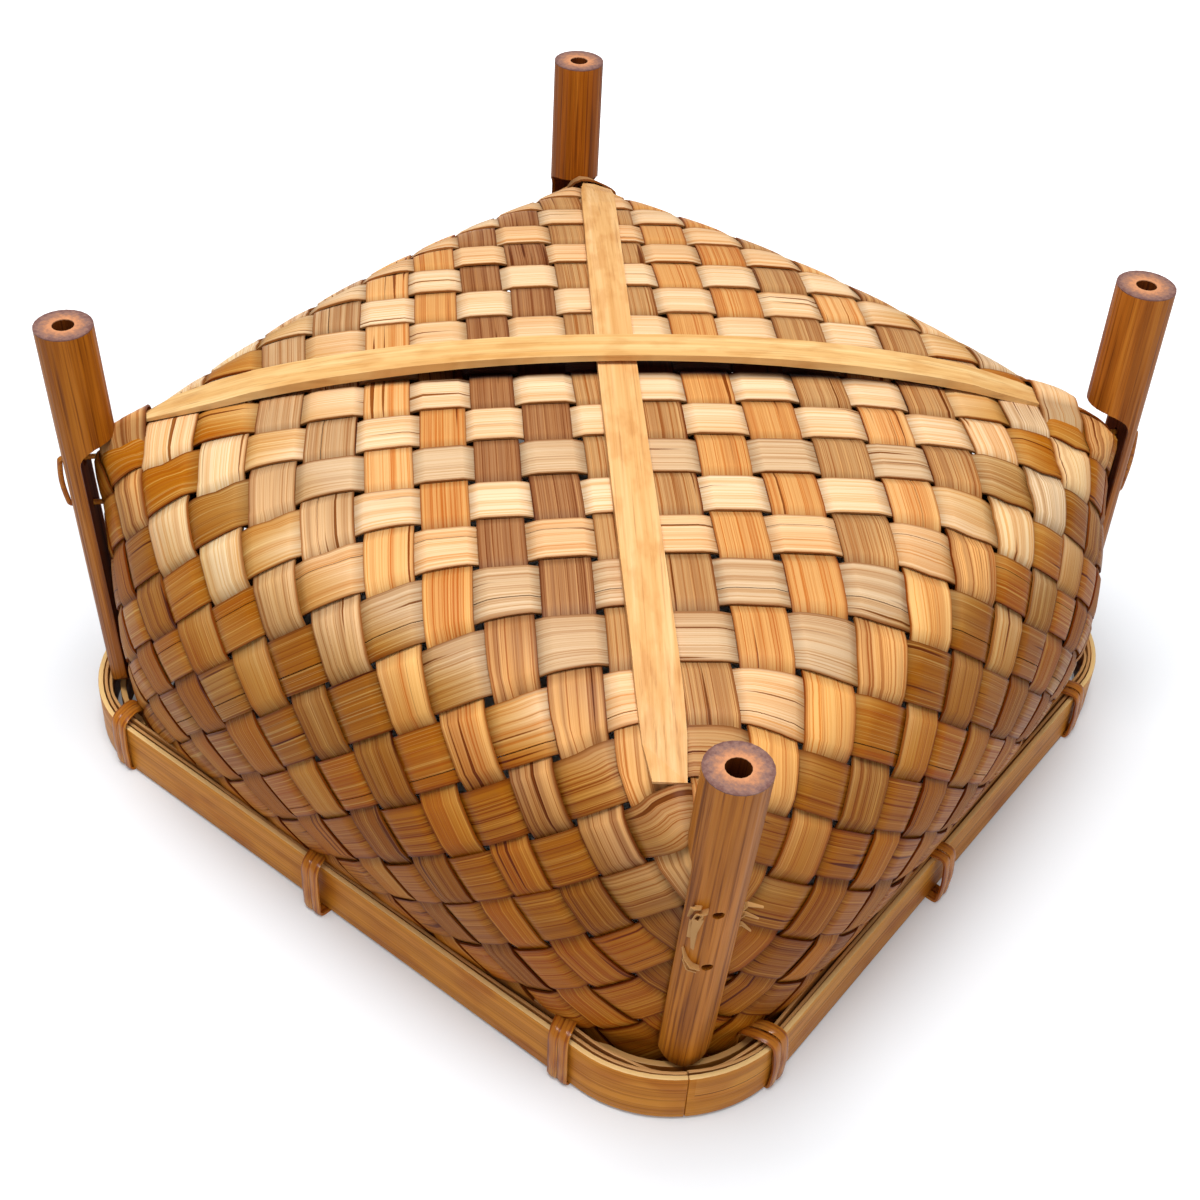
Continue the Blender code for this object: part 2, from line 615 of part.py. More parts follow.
def tie_path(corner):
    """Points of a leg's tie in the leg's frame: in at the upper hole, down behind the mat, out at the
    lower one and, where it isn't worn, up over the lath."""
    matrix, _ = leg_frame(corner)
    radius, ties = LEGS[corner]["radius"], LEGS[corner]["ties"]
    # The walls fall back from the corner at 45 degrees, and the corner isn't quite behind the leg.
    behind = [matrix.inverted() @ corner_point(corner, z) for z in ties]
    deep = min(v.x - abs(v.y) for v in behind) - TIE_DEPTH
    upper, lower = (at_height(matrix, z, radius) for z in ties)
    bend = [(deep + TIE_BEND * (1 - math.sin(a)), upper - TIE_BEND * (1 - math.cos(a)))
            for a in (math.radians(90 * i / 4) for i in range(5))]
    back = [(x, lower + upper - z) for x, z in reversed(bend)]
    line = bend + back
    if corner in WORN_TIES:
        end = radius - TIE_RECESS
        line = [(end, upper)] + line + [(end, lower)]
    else:
        turn = TIE_RADIUS + CLEARANCE
        arc = [(radius + turn * math.sin(a), lower + turn * (1 - math.cos(a)))
               for a in (math.radians(90 * i / 3) for i in range(4))]
        run = [(radius + turn + TIE_BOW * math.sin(math.pi * i / 6),
                lower + turn + (upper - lower - 2 * turn) * i / 6) for i in range(1, 6)]
        line += arc + run + [(x, lower + upper - z) for x, z in reversed(arc)]
    return [(x, 0.0, z) for x, z in line]


def build_tie(corner, parts, mat):
    curve = poly_curve(f"leg_tie_{corner}", tie_path(corner), corner not in WORN_TIES, "3D")
    curve.bevel_depth = TIE_RADIUS
    curve.bevel_resolution = 2
    curve.use_fill_caps = True
    curve.materials.append(mat)
    obj = bpy.data.objects.new(f"leg_tie_{corner}", curve)
    parts.objects.link(obj)
    obj.matrix_world = leg_frame(corner)[0]
    mesh = curve_to_mesh(obj, f"leg_tie_{corner}")
    smooth(mesh, 60)
    return new_object(f"leg_tie_{corner}", mesh, parts, mat)


def mat_holes():
    """One cutter for the mat: the lashings' slots and the holes for the leg ties."""
    bm = bmesh.new()
    high = HOOP_TOP + CLEARANCE + CANE_THICK / 2
    tall = CANE_THICK + 2 * SLOT_MARGIN
    wide = CANE_PITCH * 1.2 + CANE_WIDTH + 2 * SLOT_MARGIN
    for along in LASHING_STATIONS:
        near, far = MAT_IN - 2 * MAT_THICK, rim_depth(along) + MAT_THICK
        slot = (Matrix.Translation((-(near + far) / 2, slot_middle(along), high))
                @ Matrix.Diagonal((far - near, wide, tall, 1.0)))
        for turn in range(4):
            bmesh.ops.create_cube(bm, size=1.0, matrix=rim_station(turn, along) @ slot)
    for corner in LEGS:
        matrix, _ = leg_frame(corner)
        for z in LEGS[corner]["ties"]:
            middle = matrix.inverted() @ corner_point(corner, z)
            height = at_height(matrix, z, LEGS[corner]["radius"])
            place = matrix @ Matrix.Translation((middle.x - abs(middle.y) / 2, 0, height))
            bmesh.ops.create_cone(bm, cap_ends=True, segments=8, radius1=TIE_RADIUS + SLOT_MARGIN,
                                  radius2=TIE_RADIUS + SLOT_MARGIN, depth=5 * MAT_THICK + abs(middle.y),
                                  matrix=place @ Matrix.Rotation(math.radians(90), 4, "Y"))
    mesh = bpy.data.meshes.new("holes")
    bm.to_mesh(mesh)
    bm.free()
    return mesh


def build_mat(parts, cutters, mat):
    """The woven body: a flat grid with rings drawn from its border, laid over the folds."""
    mesh = flat_grid("woven_shell", BASE_CELLS, BASE_CELLS, 2 * BASE_HALF)
    bm = bmesh.new()
    bm.from_mesh(mesh)
    rings = bm.verts.layers.int.new("ring")
    for ring in range(1, WALL_RINGS + CLAMP_RINGS + 1):
        border = [e for e in bm.edges if e.is_boundary]
        made = bmesh.ops.extrude_edge_only(bm, edges=border)["geom"]
        for vert in made:
            if isinstance(vert, bmesh.types.BMVert):
                vert[rings] = ring
    for vert in bm.verts:
        x, y = (math.copysign(BASE_HALF * crowded(abs(a) / BASE_HALF), a) for a in vert.co.xy)
        ring = vert[rings]
        if ring == 0:
            vert.co = base_point(x, y)
        else:
            share = min(ring / WALL_RINGS, 1.0) ** RING_CROWDING + max(ring - WALL_RINGS, 0) / CLAMP_RINGS
            vert.co = wall_point(x, y, share)
    bmesh.ops.recalc_face_normals(bm, faces=bm.faces)
    bm.to_mesh(mesh)
    bm.free()
    smooth(mesh, 60)
    obj = new_object("woven_shell", mesh, parts, mat)
    solidify(obj, MAT_THICK, 0.0)
    cut_with(obj, mat_holes(), "DIFFERENCE", cutters)
    return obj


def slat_mesh(name, corner, ends, lift):
    """A flat strip near a diagonal of the base, its underside on the base plus a lift."""
    start, end = ends
    first, middle, last = SLAT_SIDES[name]
    mesh = flat_grid(name, SLAT_STEPS, 1, 1.0)
    out = Vector((*DIAGONALS[corner], 0)) / ROOT2
    side = Vector((-out.y, out.x, 0))
    other = {"front": "back", "right": "left"}[corner]
    for vert in mesh.vertices:
        reach = start + (end - start) * (vert.co.x + 0.5)
        t = 2 * vert.co.x
        beside = middle + (last - first) / 2 * t + ((first + last) / 2 - middle) * t * t
        from_end = (end - start) * (1 - abs(t)) / 2
        width = SLAT_WIDTH * (SLAT_TIP + (1 - SLAT_TIP) * min(from_end / SLAT_TAPER, 1.0))
        z = slat_height(corner if reach > 0 else other, abs(reach)) + MAT_THICK / 2 + lift(reach)
        vert.co = out * reach + side * (beside + width * vert.co.y) + Vector((0, 0, z))
    return mesh


def build_slats(parts, mat):
    """Two flat strips crossed on the base, the left-right one over the other."""
    gap = 2 * CLEARANCE

    def leg_limit(corner):
        matrix, _ = leg_frame(corner)
        inner = Vector((-LEGS[corner]["radius"], 0, at_height(matrix, FOLD_HEIGHT + SLAT_THICK)))
        return (matrix @ inner).xy.length - SLAT_LEG_GAPS[corner]

    def hump(reach):
        share = max(1 - (reach / SLAT_HUMP) ** 2, 0.0)
        return gap + (SLAT_THICK + gap) * share ** HUMP_POWER

    lower = slat_mesh("slat_front_back", "front", (-leg_limit("back"), leg_limit("front")),
                      lambda reach: gap)
    upper = slat_mesh("slat_left_right", "right", (-leg_limit("left"), leg_limit("right")), hump)
    for mesh in (lower, upper):
        obj = new_object(mesh.name, mesh, parts, mat)
        solidify(obj, SLAT_THICK, 1.0)


def main():
    for obj in list(bpy.data.objects):
        bpy.data.objects.remove(obj)
    scene = bpy.context.scene
    parts = bpy.data.collections.new("square_bamboo_basket")
    cutters = bpy.data.collections.new("cutters")
    scene.collection.children.link(parts)
    scene.collection.children.link(cutters)
    weave = material("bamboo_weave", (0.62, 0.38, 0.16), 0.45)
    hoop_skin = material("bamboo_hoop", (0.50, 0.27, 0.10), 0.45)
    splint = material("bamboo_splint", (0.66, 0.44, 0.20), 0.5)
    cane = material("cane", (0.50, 0.24, 0.07), 0.35)
    culm = material("bamboo_culm", (0.46, 0.22, 0.07), 0.4)
    slat = material("bamboo_slat", (0.67, 0.42, 0.17), 0.5)

    build_mat(parts, cutters, weave)
    def band(inset, thick, corner, seam_corner):
        return (rim_outline(inset, corner, seam_corner),
                rim_outline(inset + thick, corner - thick, seam_corner))

    hoop("outer_hoop", *band(0.0, HOOP_THICK, HOOP_CORNER, "front"),
         HOOP_BOTTOM, HOOP_HEIGHT, parts, hoop_skin)
    hoop("rim_splint_outer", *band(OUTER_SPLINT_IN, SPLINT_THICK, SPLINT_CORNER, "right"),
         HOOP_BOTTOM, SPLINT_HEIGHT, parts, splint)
    hoop("rim_splint_inner", *band(INNER_SPLINT_IN, SPLINT_THICK, SPLINT_CORNER - SPLINT_THICK, "left"),
         HOOP_BOTTOM, SPLINT_HEIGHT, parts, splint)
    hoop("inner_hoop", mat_outline(INNER_HOOP_IN - MAT_IN), mat_outline(RIM_DEPTH - MAT_IN),
         HOOP_BOTTOM, INNER_HOOP_HEIGHT, parts, hoop_skin)

    for number, along in enumerate(LASHING_STATIONS, 1):
        wound = lashing_mesh(along)
        worn_flat(wound)
        wound.materials.append(cane)
        smooth(wound, 50)
        for turn, side in enumerate(("right_front", "right_back", "left_back", "left_front")):
            lashing = bpy.data.objects.new(f"lashing_{side}_{number}", wound)
            parts.objects.link(lashing)
            lashing.matrix_world = rim_station(turn, along)

    for corner in LEGS:
        build_leg(corner, parts, cutters, culm)
        build_tie(corner, parts, cane)
    build_slats(parts, slat)


main()
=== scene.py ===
"""Woven look of the square bamboo basket: every strip of the mat, the rim, the lashings and the legs.
The basket stands upside down on its rim, with one corner at the front."""
import math

import bpy
import numpy as np
from mathutils import Matrix, Vector


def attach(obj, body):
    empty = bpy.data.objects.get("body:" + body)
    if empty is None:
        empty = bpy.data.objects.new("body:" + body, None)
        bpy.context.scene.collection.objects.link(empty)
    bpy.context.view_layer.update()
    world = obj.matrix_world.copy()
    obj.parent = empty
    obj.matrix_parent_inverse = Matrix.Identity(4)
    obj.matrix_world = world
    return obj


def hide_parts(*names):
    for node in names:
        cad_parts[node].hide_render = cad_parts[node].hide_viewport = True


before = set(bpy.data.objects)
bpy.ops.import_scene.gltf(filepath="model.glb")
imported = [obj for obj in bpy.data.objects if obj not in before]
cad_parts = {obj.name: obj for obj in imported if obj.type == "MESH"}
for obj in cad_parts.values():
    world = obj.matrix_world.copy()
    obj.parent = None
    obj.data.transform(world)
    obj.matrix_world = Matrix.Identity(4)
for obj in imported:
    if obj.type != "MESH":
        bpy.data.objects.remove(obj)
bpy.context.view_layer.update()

ROOT2 = math.sqrt(2.0)

# The basket's shape, in metres and with the CAD's own sizes
RIM_HALF = 0.1836           # middle of the basket to the hoop's outer face, where a corner begins
RIM_BOW = 0.0069            # how much further out the middle of each side bows
BOW_FULL = 0.85             # share of RIM_HALF from which a point moves by the whole bow
HOOP_CORNER, HOOP_THICK, HOOP_HEIGHT = 0.050, 0.003, 0.024
SPLINT_THICK, SPLINT_HEIGHT = 0.0017, 0.020
INNER_HOOP_THICK, INNER_HOOP_HEIGHT = 0.003, 0.019
MAT_THICK, MAT_EDGE = 0.0024, 0.003     # the mat, and its lower edge over the hoop's
CLAMP_ABOVE = 0.0045        # from the splints up to where the mat comes out of the rim
CLEARANCE = 0.0003
LATH_REACH = 0.0146         # room for a leg's lath between hoop and mat
BASE_HALF = 0.1574          # half the base, from fold to fold
FOLD_HEIGHT = 0.1585        # of the base's corners, before the mat bends down
BASE_RISE, BASE_CURVE = 0.0287, 2.5     # how much higher the base's middle is, and how it rounds off
FOLD_MIDDLE, FOLD_CORNER = 0.0244, 0.008        # half the bend's length at a side's middle and corner
WALL_LEAN = math.radians(22.0)          # of a wall's middle, out from upright
WALL_BULGE = 0.0205
BASE_TWIST = math.radians(-1.2)
BASE_LONG, BASE_SHORT = 1.023, 0.9685   # its stretch from front to back and from left to right
BASE_SHIFT = (0.0021, -0.0062)          # of the base's middle, along X and Y
CORNER_DRAW = -0.022        # share by which the base's corners are drawn in, or out where it is negative
HOOP_BOTTOM = 0.0011        # the hoop stands on the cane's lower turns
HOOP_TOP = HOOP_BOTTOM + HOOP_HEIGHT
CLAMP_TOP = HOOP_BOTTOM + SPLINT_HEIGHT + CLAMP_ABOVE
MAT_BOTTOM = HOOP_BOTTOM + MAT_EDGE
MAT_IN = HOOP_THICK + 2 * SPLINT_THICK + 3 * CLEARANCE + MAT_THICK / 2

# The weave
STRIPS = 10                 # strips each side of the middle, both ways
PITCH = 0.02359             # from one strip's middle to the next
MAT_HALF = STRIPS * PITCH / ROOT2       # where the flat mat's corner strips meet the basket's corner
STRIP_GAP = 0.0030
STRIP_THICK = 0.0009
STRIP_STEP = 0.003          # length of one face of a strip
WEAVE_RISE = 0.00085        # an over-strip's middle above the mat's
STRIP_CROWN = 0.0004        # and how much further its middle line stands up than its edges
# How far the gap lines between strips stand from an even spacing, in mm, from line -10 to +10
LINES = {"a": (0, -1, 2.5, 3, 2, 3, 2, .5, -1.5, -2, -2, -2, -1.5, 0, 2, 2, 3, 3, 3, 1.5, 0),
         "b": (0, 0, 0, -1, -.5, 0, -1, 0, 1.5, .7, -.2, -1, -1.8, -2, -3, -4, -2, 0, 1.5, 1.5, 0)}


def part_way(value, start, end):
    """How far a value has come from start to end, 0 to 1."""
    return np.clip((value - start) / (end - start), 0, 1)


def smooth(share):
    """A share of the way, eased at both ends."""
    return share * share * (3 - 2 * share)


def on_diagonals(x, y):
    """A plan point's places along the basket's diagonals, back to front and left to right."""
    return (x - y) / ROOT2, (x + y) / ROOT2


def from_diagonals(p, q, z):
    """A point whose place in plan is given along the diagonals."""
    return Vector(((p + q) / ROOT2, (q - p) / ROOT2, z))


def bowed(x, y):
    """A plan point of the rim, moved out by the bow of its side."""
    full = BOW_FULL * RIM_HALF

    def push(a, b):
        near = np.minimum(np.abs(a) / full, 1.0) ** 3
        return np.copysign(RIM_BOW * (1 - (b / RIM_HALF) ** 2) * near, a)
    return x + push(x, y), y + push(y, x)


def corner_reach_of(inset, corner):
    """How far from the middle a line round the rim turns its corner."""
    across = RIM_HALF - inset - corner * (1 - 1 / ROOT2)
    return math.hypot(*bowed(across, across))


def mat_corner_radius():
    """The plan radius that brings the mat's corner inside the leg's lath at the rim."""
    reach = corner_reach_of(HOOP_THICK, HOOP_CORNER - HOOP_THICK) - LATH_REACH
    low, high = 0.0, RIM_HALF - MAT_IN
    for _ in range(50):
        mid = (low + high) / 2
        low, high = (mid, high) if corner_reach_of(MAT_IN, mid) > reach else (low, mid)
    return low


MAT_CORNER = mat_corner_radius()


def rim_side_point(share):
    """Plan point of the mat in the rim's +X side: share 0 is mid side and 1 is the corner."""
    half = RIM_HALF - MAT_IN
    straight = half - MAT_CORNER
    y = share * (half - MAT_CORNER * (1 - 1 / ROOT2))
    beyond = np.maximum(y - straight, 0.0)
    return bowed(straight + np.sqrt(MAT_CORNER ** 2 - beyond ** 2), y)


def fold_shape(share):
    """Half length and turn of the fold, at a share of the way from a side's middle to its corner."""
    return (FOLD_CORNER + (FOLD_MIDDLE - FOLD_CORNER) * (1 - share ** 4),
            math.pi / 2 - WALL_LEAN * (1 - share ** 6))


def fold(reach, half, turn):
    """Run out and drop of a line of the mat after `reach` along it, bent over a base edge."""
    start = BASE_HALF - half
    radius = 2 * half / turn
    angle = np.minimum(np.maximum((reach - start) / radius, 0.0), turn)
    tail = np.maximum(reach - BASE_HALF - half, 0.0)
    return (np.minimum(reach, start) + radius * np.sin(angle) + tail * np.cos(turn),
            radius * (1 - np.cos(angle)) + tail * np.sin(turn))


def crown(x, y):
    """How much higher the base is than its corners."""
    return BASE_RISE * (1 - (np.hypot(x, y) / (BASE_HALF * ROOT2)) ** BASE_CURVE)


def drawn_in(run, across, near_edge):
    """Plan distances from the middle, moved along the diagonal near the base's corners."""
    ratio = np.minimum(run, across) / np.maximum(np.maximum(run, across), 1e-9)
    share = 1 - CORNER_DRAW * ratio ** 8 * near_edge ** 4
    return run * share, across * share


def stretched(x, y, amount):
    """Draw plan points out from front to back, in from left to right, turn and shift them."""
    p, q = on_diagonals(x, y)
    p, q = p * (1 + (BASE_LONG - 1) * amount), q * (1 + (BASE_SHORT - 1) * amount)
    x, y = (p + q) / ROOT2, (q - p) / ROOT2
    c, s = np.cos(BASE_TWIST * amount), np.sin(BASE_TWIST * amount)
    return c * x - s * y + BASE_SHIFT[0] * amount, s * x + c * y + BASE_SHIFT[1] * amount


def base_points(x, y):
    """Points of the base, from their places on the flat mat."""
    sx, sy = np.abs(x) / BASE_HALF, np.abs(y) / BASE_HALF
    run_x, drop_x = fold(np.abs(x), *fold_shape(np.minimum(sy, 1.0)))
    run_y, drop_y = fold(np.abs(y), *fold_shape(np.minimum(sx, 1.0)))
    run_x, run_y = drawn_in(run_x, run_y, np.minimum(np.maximum(sx, sy), 1.0))
    px, py = stretched(np.copysign(run_x, x), np.copysign(run_y, y), 1.0)
    return np.stack([px, py, FOLD_HEIGHT + crown(x, y) - drop_x - drop_y], -1)


def wall_line(along, depth):
    """Run out, run sideways and drop of a wall, `depth` down the mat from the base's edge."""
    ends = fold_shape(1.0)
    corner_run = fold(BASE_HALF + depth, *ends)[0]
    corner_start = fold(BASE_HALF, *ends)[0]
    run, drop = fold(BASE_HALF + depth, *fold_shape(along / BASE_HALF))
    across, drop_across = fold(along, *ends)
    run, across = drawn_in(run, across * corner_run / corner_start, 1.0)
    return run, across, drop + drop_across


def wall_length(along):
    """Length of a wall from the fold down to where the rim clamps it."""
    half, turn = fold_shape(along / BASE_HALF)
    radius = 2 * half / turn
    top = FOLD_HEIGHT + crown(BASE_HALF, along) - fold(along, *fold_shape(1.0))[1]
    return half + (top - radius * (1 - np.cos(turn)) - CLAMP_TOP) / np.sin(turn)


def wall_points(x, y, share):
    """Points of the walls under the base's edge points. Share 1 is the rim's clamp, 2 the mat's edge."""
    along = np.minimum(np.minimum(np.abs(x), np.abs(y)), BASE_HALF)
    length = wall_length(along)
    down = np.minimum(share, 1.0)
    run, across, drop = wall_line(along, length * down)
    end_run, end_across, _ = wall_line(along, length)
    rim_run, rim_across = rim_side_point(along / BASE_HALF)
    bulge = WALL_BULGE * np.sin(math.pi * down) * (1 - (along / BASE_HALF) ** 4)
    run = run + (rim_run - end_run) * down + bulge
    across = across + (rim_across - end_across) * down
    z = FOLD_HEIGHT + crown(BASE_HALF, along) - drop
    z = z - np.maximum(share - 1.0, 0.0) * (CLAMP_TOP - MAT_BOTTOM)
    side_x = np.abs(x) >= np.abs(y)
    a, b = np.where(side_x, run, across), np.where(side_x, across, run)
    px, py = stretched(np.copysign(a, x), np.copysign(b, y), 1.0 - down)
    return np.stack([px, py, z], -1)


def turned(x, y, quarter):
    """A plan point turned by quarter turns; `quarter` may differ from point to point."""
    c = np.array([1, 0, -1, 0])[quarter % 4]
    s = np.array([0, 1, 0, -1])[quarter % 4]
    return c * x - s * y, s * x + c * y


def mat_place(x, y, home):
    """Where points of the flat mat lie: their place in the CAD's own terms, and depth into the rim.
    `home` is the wall that a strip runs down first, 0 to 3 from +X, and beyond its corner it goes on
    round the next wall."""
    x, y = turned(x, y, -home)
    beyond = (x > MAT_HALF) & (np.abs(y) > MAT_HALF)
    step = np.where(beyond, np.sign(y).astype(int), 0)
    y = y - 2 * MAT_HALF * step
    x, y = turned(x, y, home + step)
    least = np.minimum(np.abs(x), np.abs(y))
    pull = (MAT_HALF - BASE_HALF) * np.minimum(least / MAT_HALF, 1.0) ** 4
    bx, by = np.copysign(np.abs(x) - pull, x), np.copysign(np.abs(y) - pull, y)
    far = np.maximum(np.abs(bx), np.abs(by))
    depth = far - BASE_HALF
    along = np.minimum(np.minimum(np.abs(bx), np.abs(by)), BASE_HALF)
    length = wall_length(along)
    share = depth / length
    share = np.where(share > 1, 1 + (depth - length) / (CLAMP_TOP - MAT_BOTTOM), share)
    return bx, by, depth, share


def mat_points(x, y, home):
    """Points of the folded mat, their depth past the base's edge and their share of the way to the rim."""
    bx, by, depth, share = mat_place(x, y, home)
    edge_x = np.clip(bx, -BASE_HALF, BASE_HALF)
    edge_y = np.clip(by, -BASE_HALF, BASE_HALF)
    side_x = np.abs(bx) >= np.abs(by)
    wx = np.where(side_x, np.copysign(BASE_HALF, bx), edge_x)
    wy = np.where(side_x, edge_y, np.copysign(BASE_HALF, by))
    on_wall = wall_points(wx, wy, np.clip(share, 0.0, 2.0))
    on_base = base_points(edge_x, edge_y)
    return np.where((depth > 0)[..., None], on_wall, on_base), depth, share


# Nodes and materials
def colour(code):
    """An sRGB hex colour as the linear values that Blender's sockets take."""
    parts = [int(code[i:i + 2], 16) / 255 for i in (0, 2, 4)]
    return (*(c / 12.92 if c <= 0.04045 else ((c + 0.055) / 1.055) ** 2.4 for c in parts), 1.0)


def add(tree, kind, sockets=None, stops=None, **settings):
    """Add a node with its settings, colour stops and sockets: a socket takes a value or another's output."""
    node = tree.nodes.new(kind)
    for key, value in settings.items():
        setattr(node, key, value)
    if stops:
        ramp = node.color_ramp
        while len(ramp.elements) < len(stops):
            ramp.elements.new(0.5)
        for element, (place, code) in zip(ramp.elements, stops):
            element.position, element.color = place, colour(code)
    for key, value in (sockets or {}).items():
        if isinstance(value, bpy.types.NodeSocket):
            tree.links.new(value, node.inputs[key])
        else:
            node.inputs[key].default_value = value
    return node


def new_material(name, roughness, specular=0.14):
    """A material with the light refraction of bamboo and cane, whose skin is glassy but mirrors little."""
    mat = bpy.data.materials.new(name)
    mat.use_nodes = True
    shader = mat.node_tree.nodes["Principled BSDF"]
    shader.inputs["Roughness"].default_value = roughness
    shader.inputs["IOR"].default_value = 1.5
    shader.inputs["Specular IOR Level"].default_value = specular
    return mat, mat.node_tree, shader


def streaks(tree, vector, scale, detail=2, roughness=0.5, flat=True):
    """Noise drawn out along the grain. Its scale is how many waves lie in a metre on each axis: 1400 sets
    fibres 0.7 mm apart, coarser than real ones, to show. Flat streaks lie in a UV map."""
    spread = add(tree, "ShaderNodeMapping", {"Vector": vector, "Scale": scale})
    return add(tree, "ShaderNodeTexNoise", {"Vector": spread.outputs[0], "Scale": 1, "Detail": detail,
                                            "Roughness": roughness},
               noise_dimensions="2D" if flat else "3D").outputs[0]


def stained(tree, tone, amount, value, stops):
    """A tone multiplied, by an amount, with the colour that a pattern's value picks."""
    stain = add(tree, "ShaderNodeValToRGB", {"Fac": value}, stops=stops)
    return add(tree, "ShaderNodeMix", {"Factor": amount, "A": tone, "B": stain.outputs[0]},
               data_type="RGBA", blend_type="MULTIPLY").outputs["Result"]


def finish_grain(tree, shader, base, fibre, depth, gloss, dull=None):
    """Colour, fine relief and uneven gloss from one fibre pattern; where `dull` is 1 there is no gloss."""
    bump = add(tree, "ShaderNodeBump", {"Height": fibre, "Strength": 0.5, "Distance": depth})
    rough = add(tree, "ShaderNodeMapRange", {"Value": fibre, "From Min": 0.3, "From Max": 0.7,
                                             "To Min": gloss[1], "To Max": gloss[0]}).outputs["Result"]
    if dull:
        rough = add(tree, "ShaderNodeMath", {0: rough, 1: dull}, operation="MAXIMUM").outputs[0]
    tree.links.new(base, shader.inputs["Base Color"])
    tree.links.new(bump.outputs["Normal"], shader.inputs["Normal"])
    tree.links.new(rough, shader.inputs["Roughness"])


def split_bamboo(name, base, wall, streak, pale):
    """Split bamboo, shaved flat and silky: straight fibres as long as the strip, bands where the split
    ran deeper, thin pale lines of bare fibre, rare dark cracks, edges darkened as painted shade, a painted
    highlight on the shoulder where the strip bends over the fold, painted shadow under the upper slat and
    painted shade where a strip goes under the next, and orange brown deepening down the walls."""
    mat, tree, shader = new_material(name, 0.42, 0.08)
    grain = add(tree, "ShaderNodeUVMap", uv_map="grain").outputs["UV"]
    drop, worn, shade, edge = (add(tree, "ShaderNodeAttribute", attribute_name=mark).outputs["Fac"]
                               for mark in ("drop", "worn", "shade", "edge"))
    fibre = streaks(tree, grain, (4, 1400, 1), 3, 0.6)
    bands = streaks(tree, grain, (2.5, 260, 1), 1)          # 4 mm across
    bare = streaks(tree, grain, (2, 600, 1), 0)             # 1.7 mm
    cracks = streaks(tree, grain, (10, 420, 1), 0)          # 2.4 mm
    cloud = streaks(tree, grain, (11, 45, 1), 1)            # 22 mm
    uneven = add(tree, "ShaderNodeMath", {0: cloud, 1: 0.7, 2: -0.35}, operation="MULTIPLY_ADD")
    aged = add(tree, "ShaderNodeMath", {0: drop, 1: uneven.outputs[0]}, operation="ADD",
               use_clamp=True).outputs[0]
    patchy = add(tree, "ShaderNodeMapRange", {"Value": bands, "From Min": 0.35, "From Max": 0.6,
                                              "To Min": 0.55, "To Max": 1.0})
    # The worn mark is a painted highlight: the pale colour mixed in on the shoulder stands in for gloss
    # there.
    painted_highlight = add(tree, "ShaderNodeMath", {0: worn, 1: patchy.outputs[0]}, operation="MULTIPLY").outputs[0]
    line = add(tree, "ShaderNodeValToRGB", {"Fac": bare},
               stops=((0.57, "000000"), (0.61, "8c8c8c"), (0.66, "000000"))).outputs[0]
    tone = add(tree, "ShaderNodeMix", {"Factor": aged, "A": colour(base), "B": colour(wall)},
               data_type="RGBA").outputs["Result"]
    tone = add(tree, "ShaderNodeMix", {"Factor": painted_highlight, "A": tone, "B": colour(pale)},
               data_type="RGBA").outputs["Result"]
    tone = stained(tree, tone, 0.55, bands, ((0.32, streak), (0.50, "fff8ee")))
    tone = stained(tree, tone, 0.95, fibre, ((0.34, streak), (0.46, "f6ecdf"), (0.60, "ffffff")))
    tone = add(tree, "ShaderNodeMix", {"Factor": line, "A": tone, "B": colour(pale)},
               data_type="RGBA").outputs["Result"]
    tone = stained(tree, tone, 1.0, cracks, ((0.81, "ffffff"), (0.85, "9c7248")))
    # Painted shade: each strip darkens towards its edges.
    tone = stained(tree, tone, 1.0, edge, ((0.88, "ffffff"), (1.0, "b4906a")))
    tone = stained(tree, tone, 1.0, aged, ((0.15, "ffffff"), (0.8, "fff8b8")))
    # Painted shadow under the upper slat and painted shade where a strip goes under the next.
    tone = add(tree, "ShaderNodeMix", {"Factor": shade, "A": tone, "B": colour("3c2414")},
               data_type="RGBA", blend_type="MULTIPLY").outputs["Result"]
    shader.inputs["Anisotropic"].default_value = 0.6
    shader.inputs["Anisotropic Rotation"].default_value = 0.25      # gloss spreads across the fibres
    along = add(tree, "ShaderNodeTangent", direction_type="UV_MAP", uv_map="grain")
    tree.links.new(along.outputs[0], shader.inputs["Tangent"])
    finish_grain(tree, shader, tone, fibre, 0.0003, (0.36, 0.50))
    return mat


CRACK_SIDE = 0.172          # the hoop's right-hand front side lies beyond this X
CRACK_HALF = 0.00018        # half the crack line's width


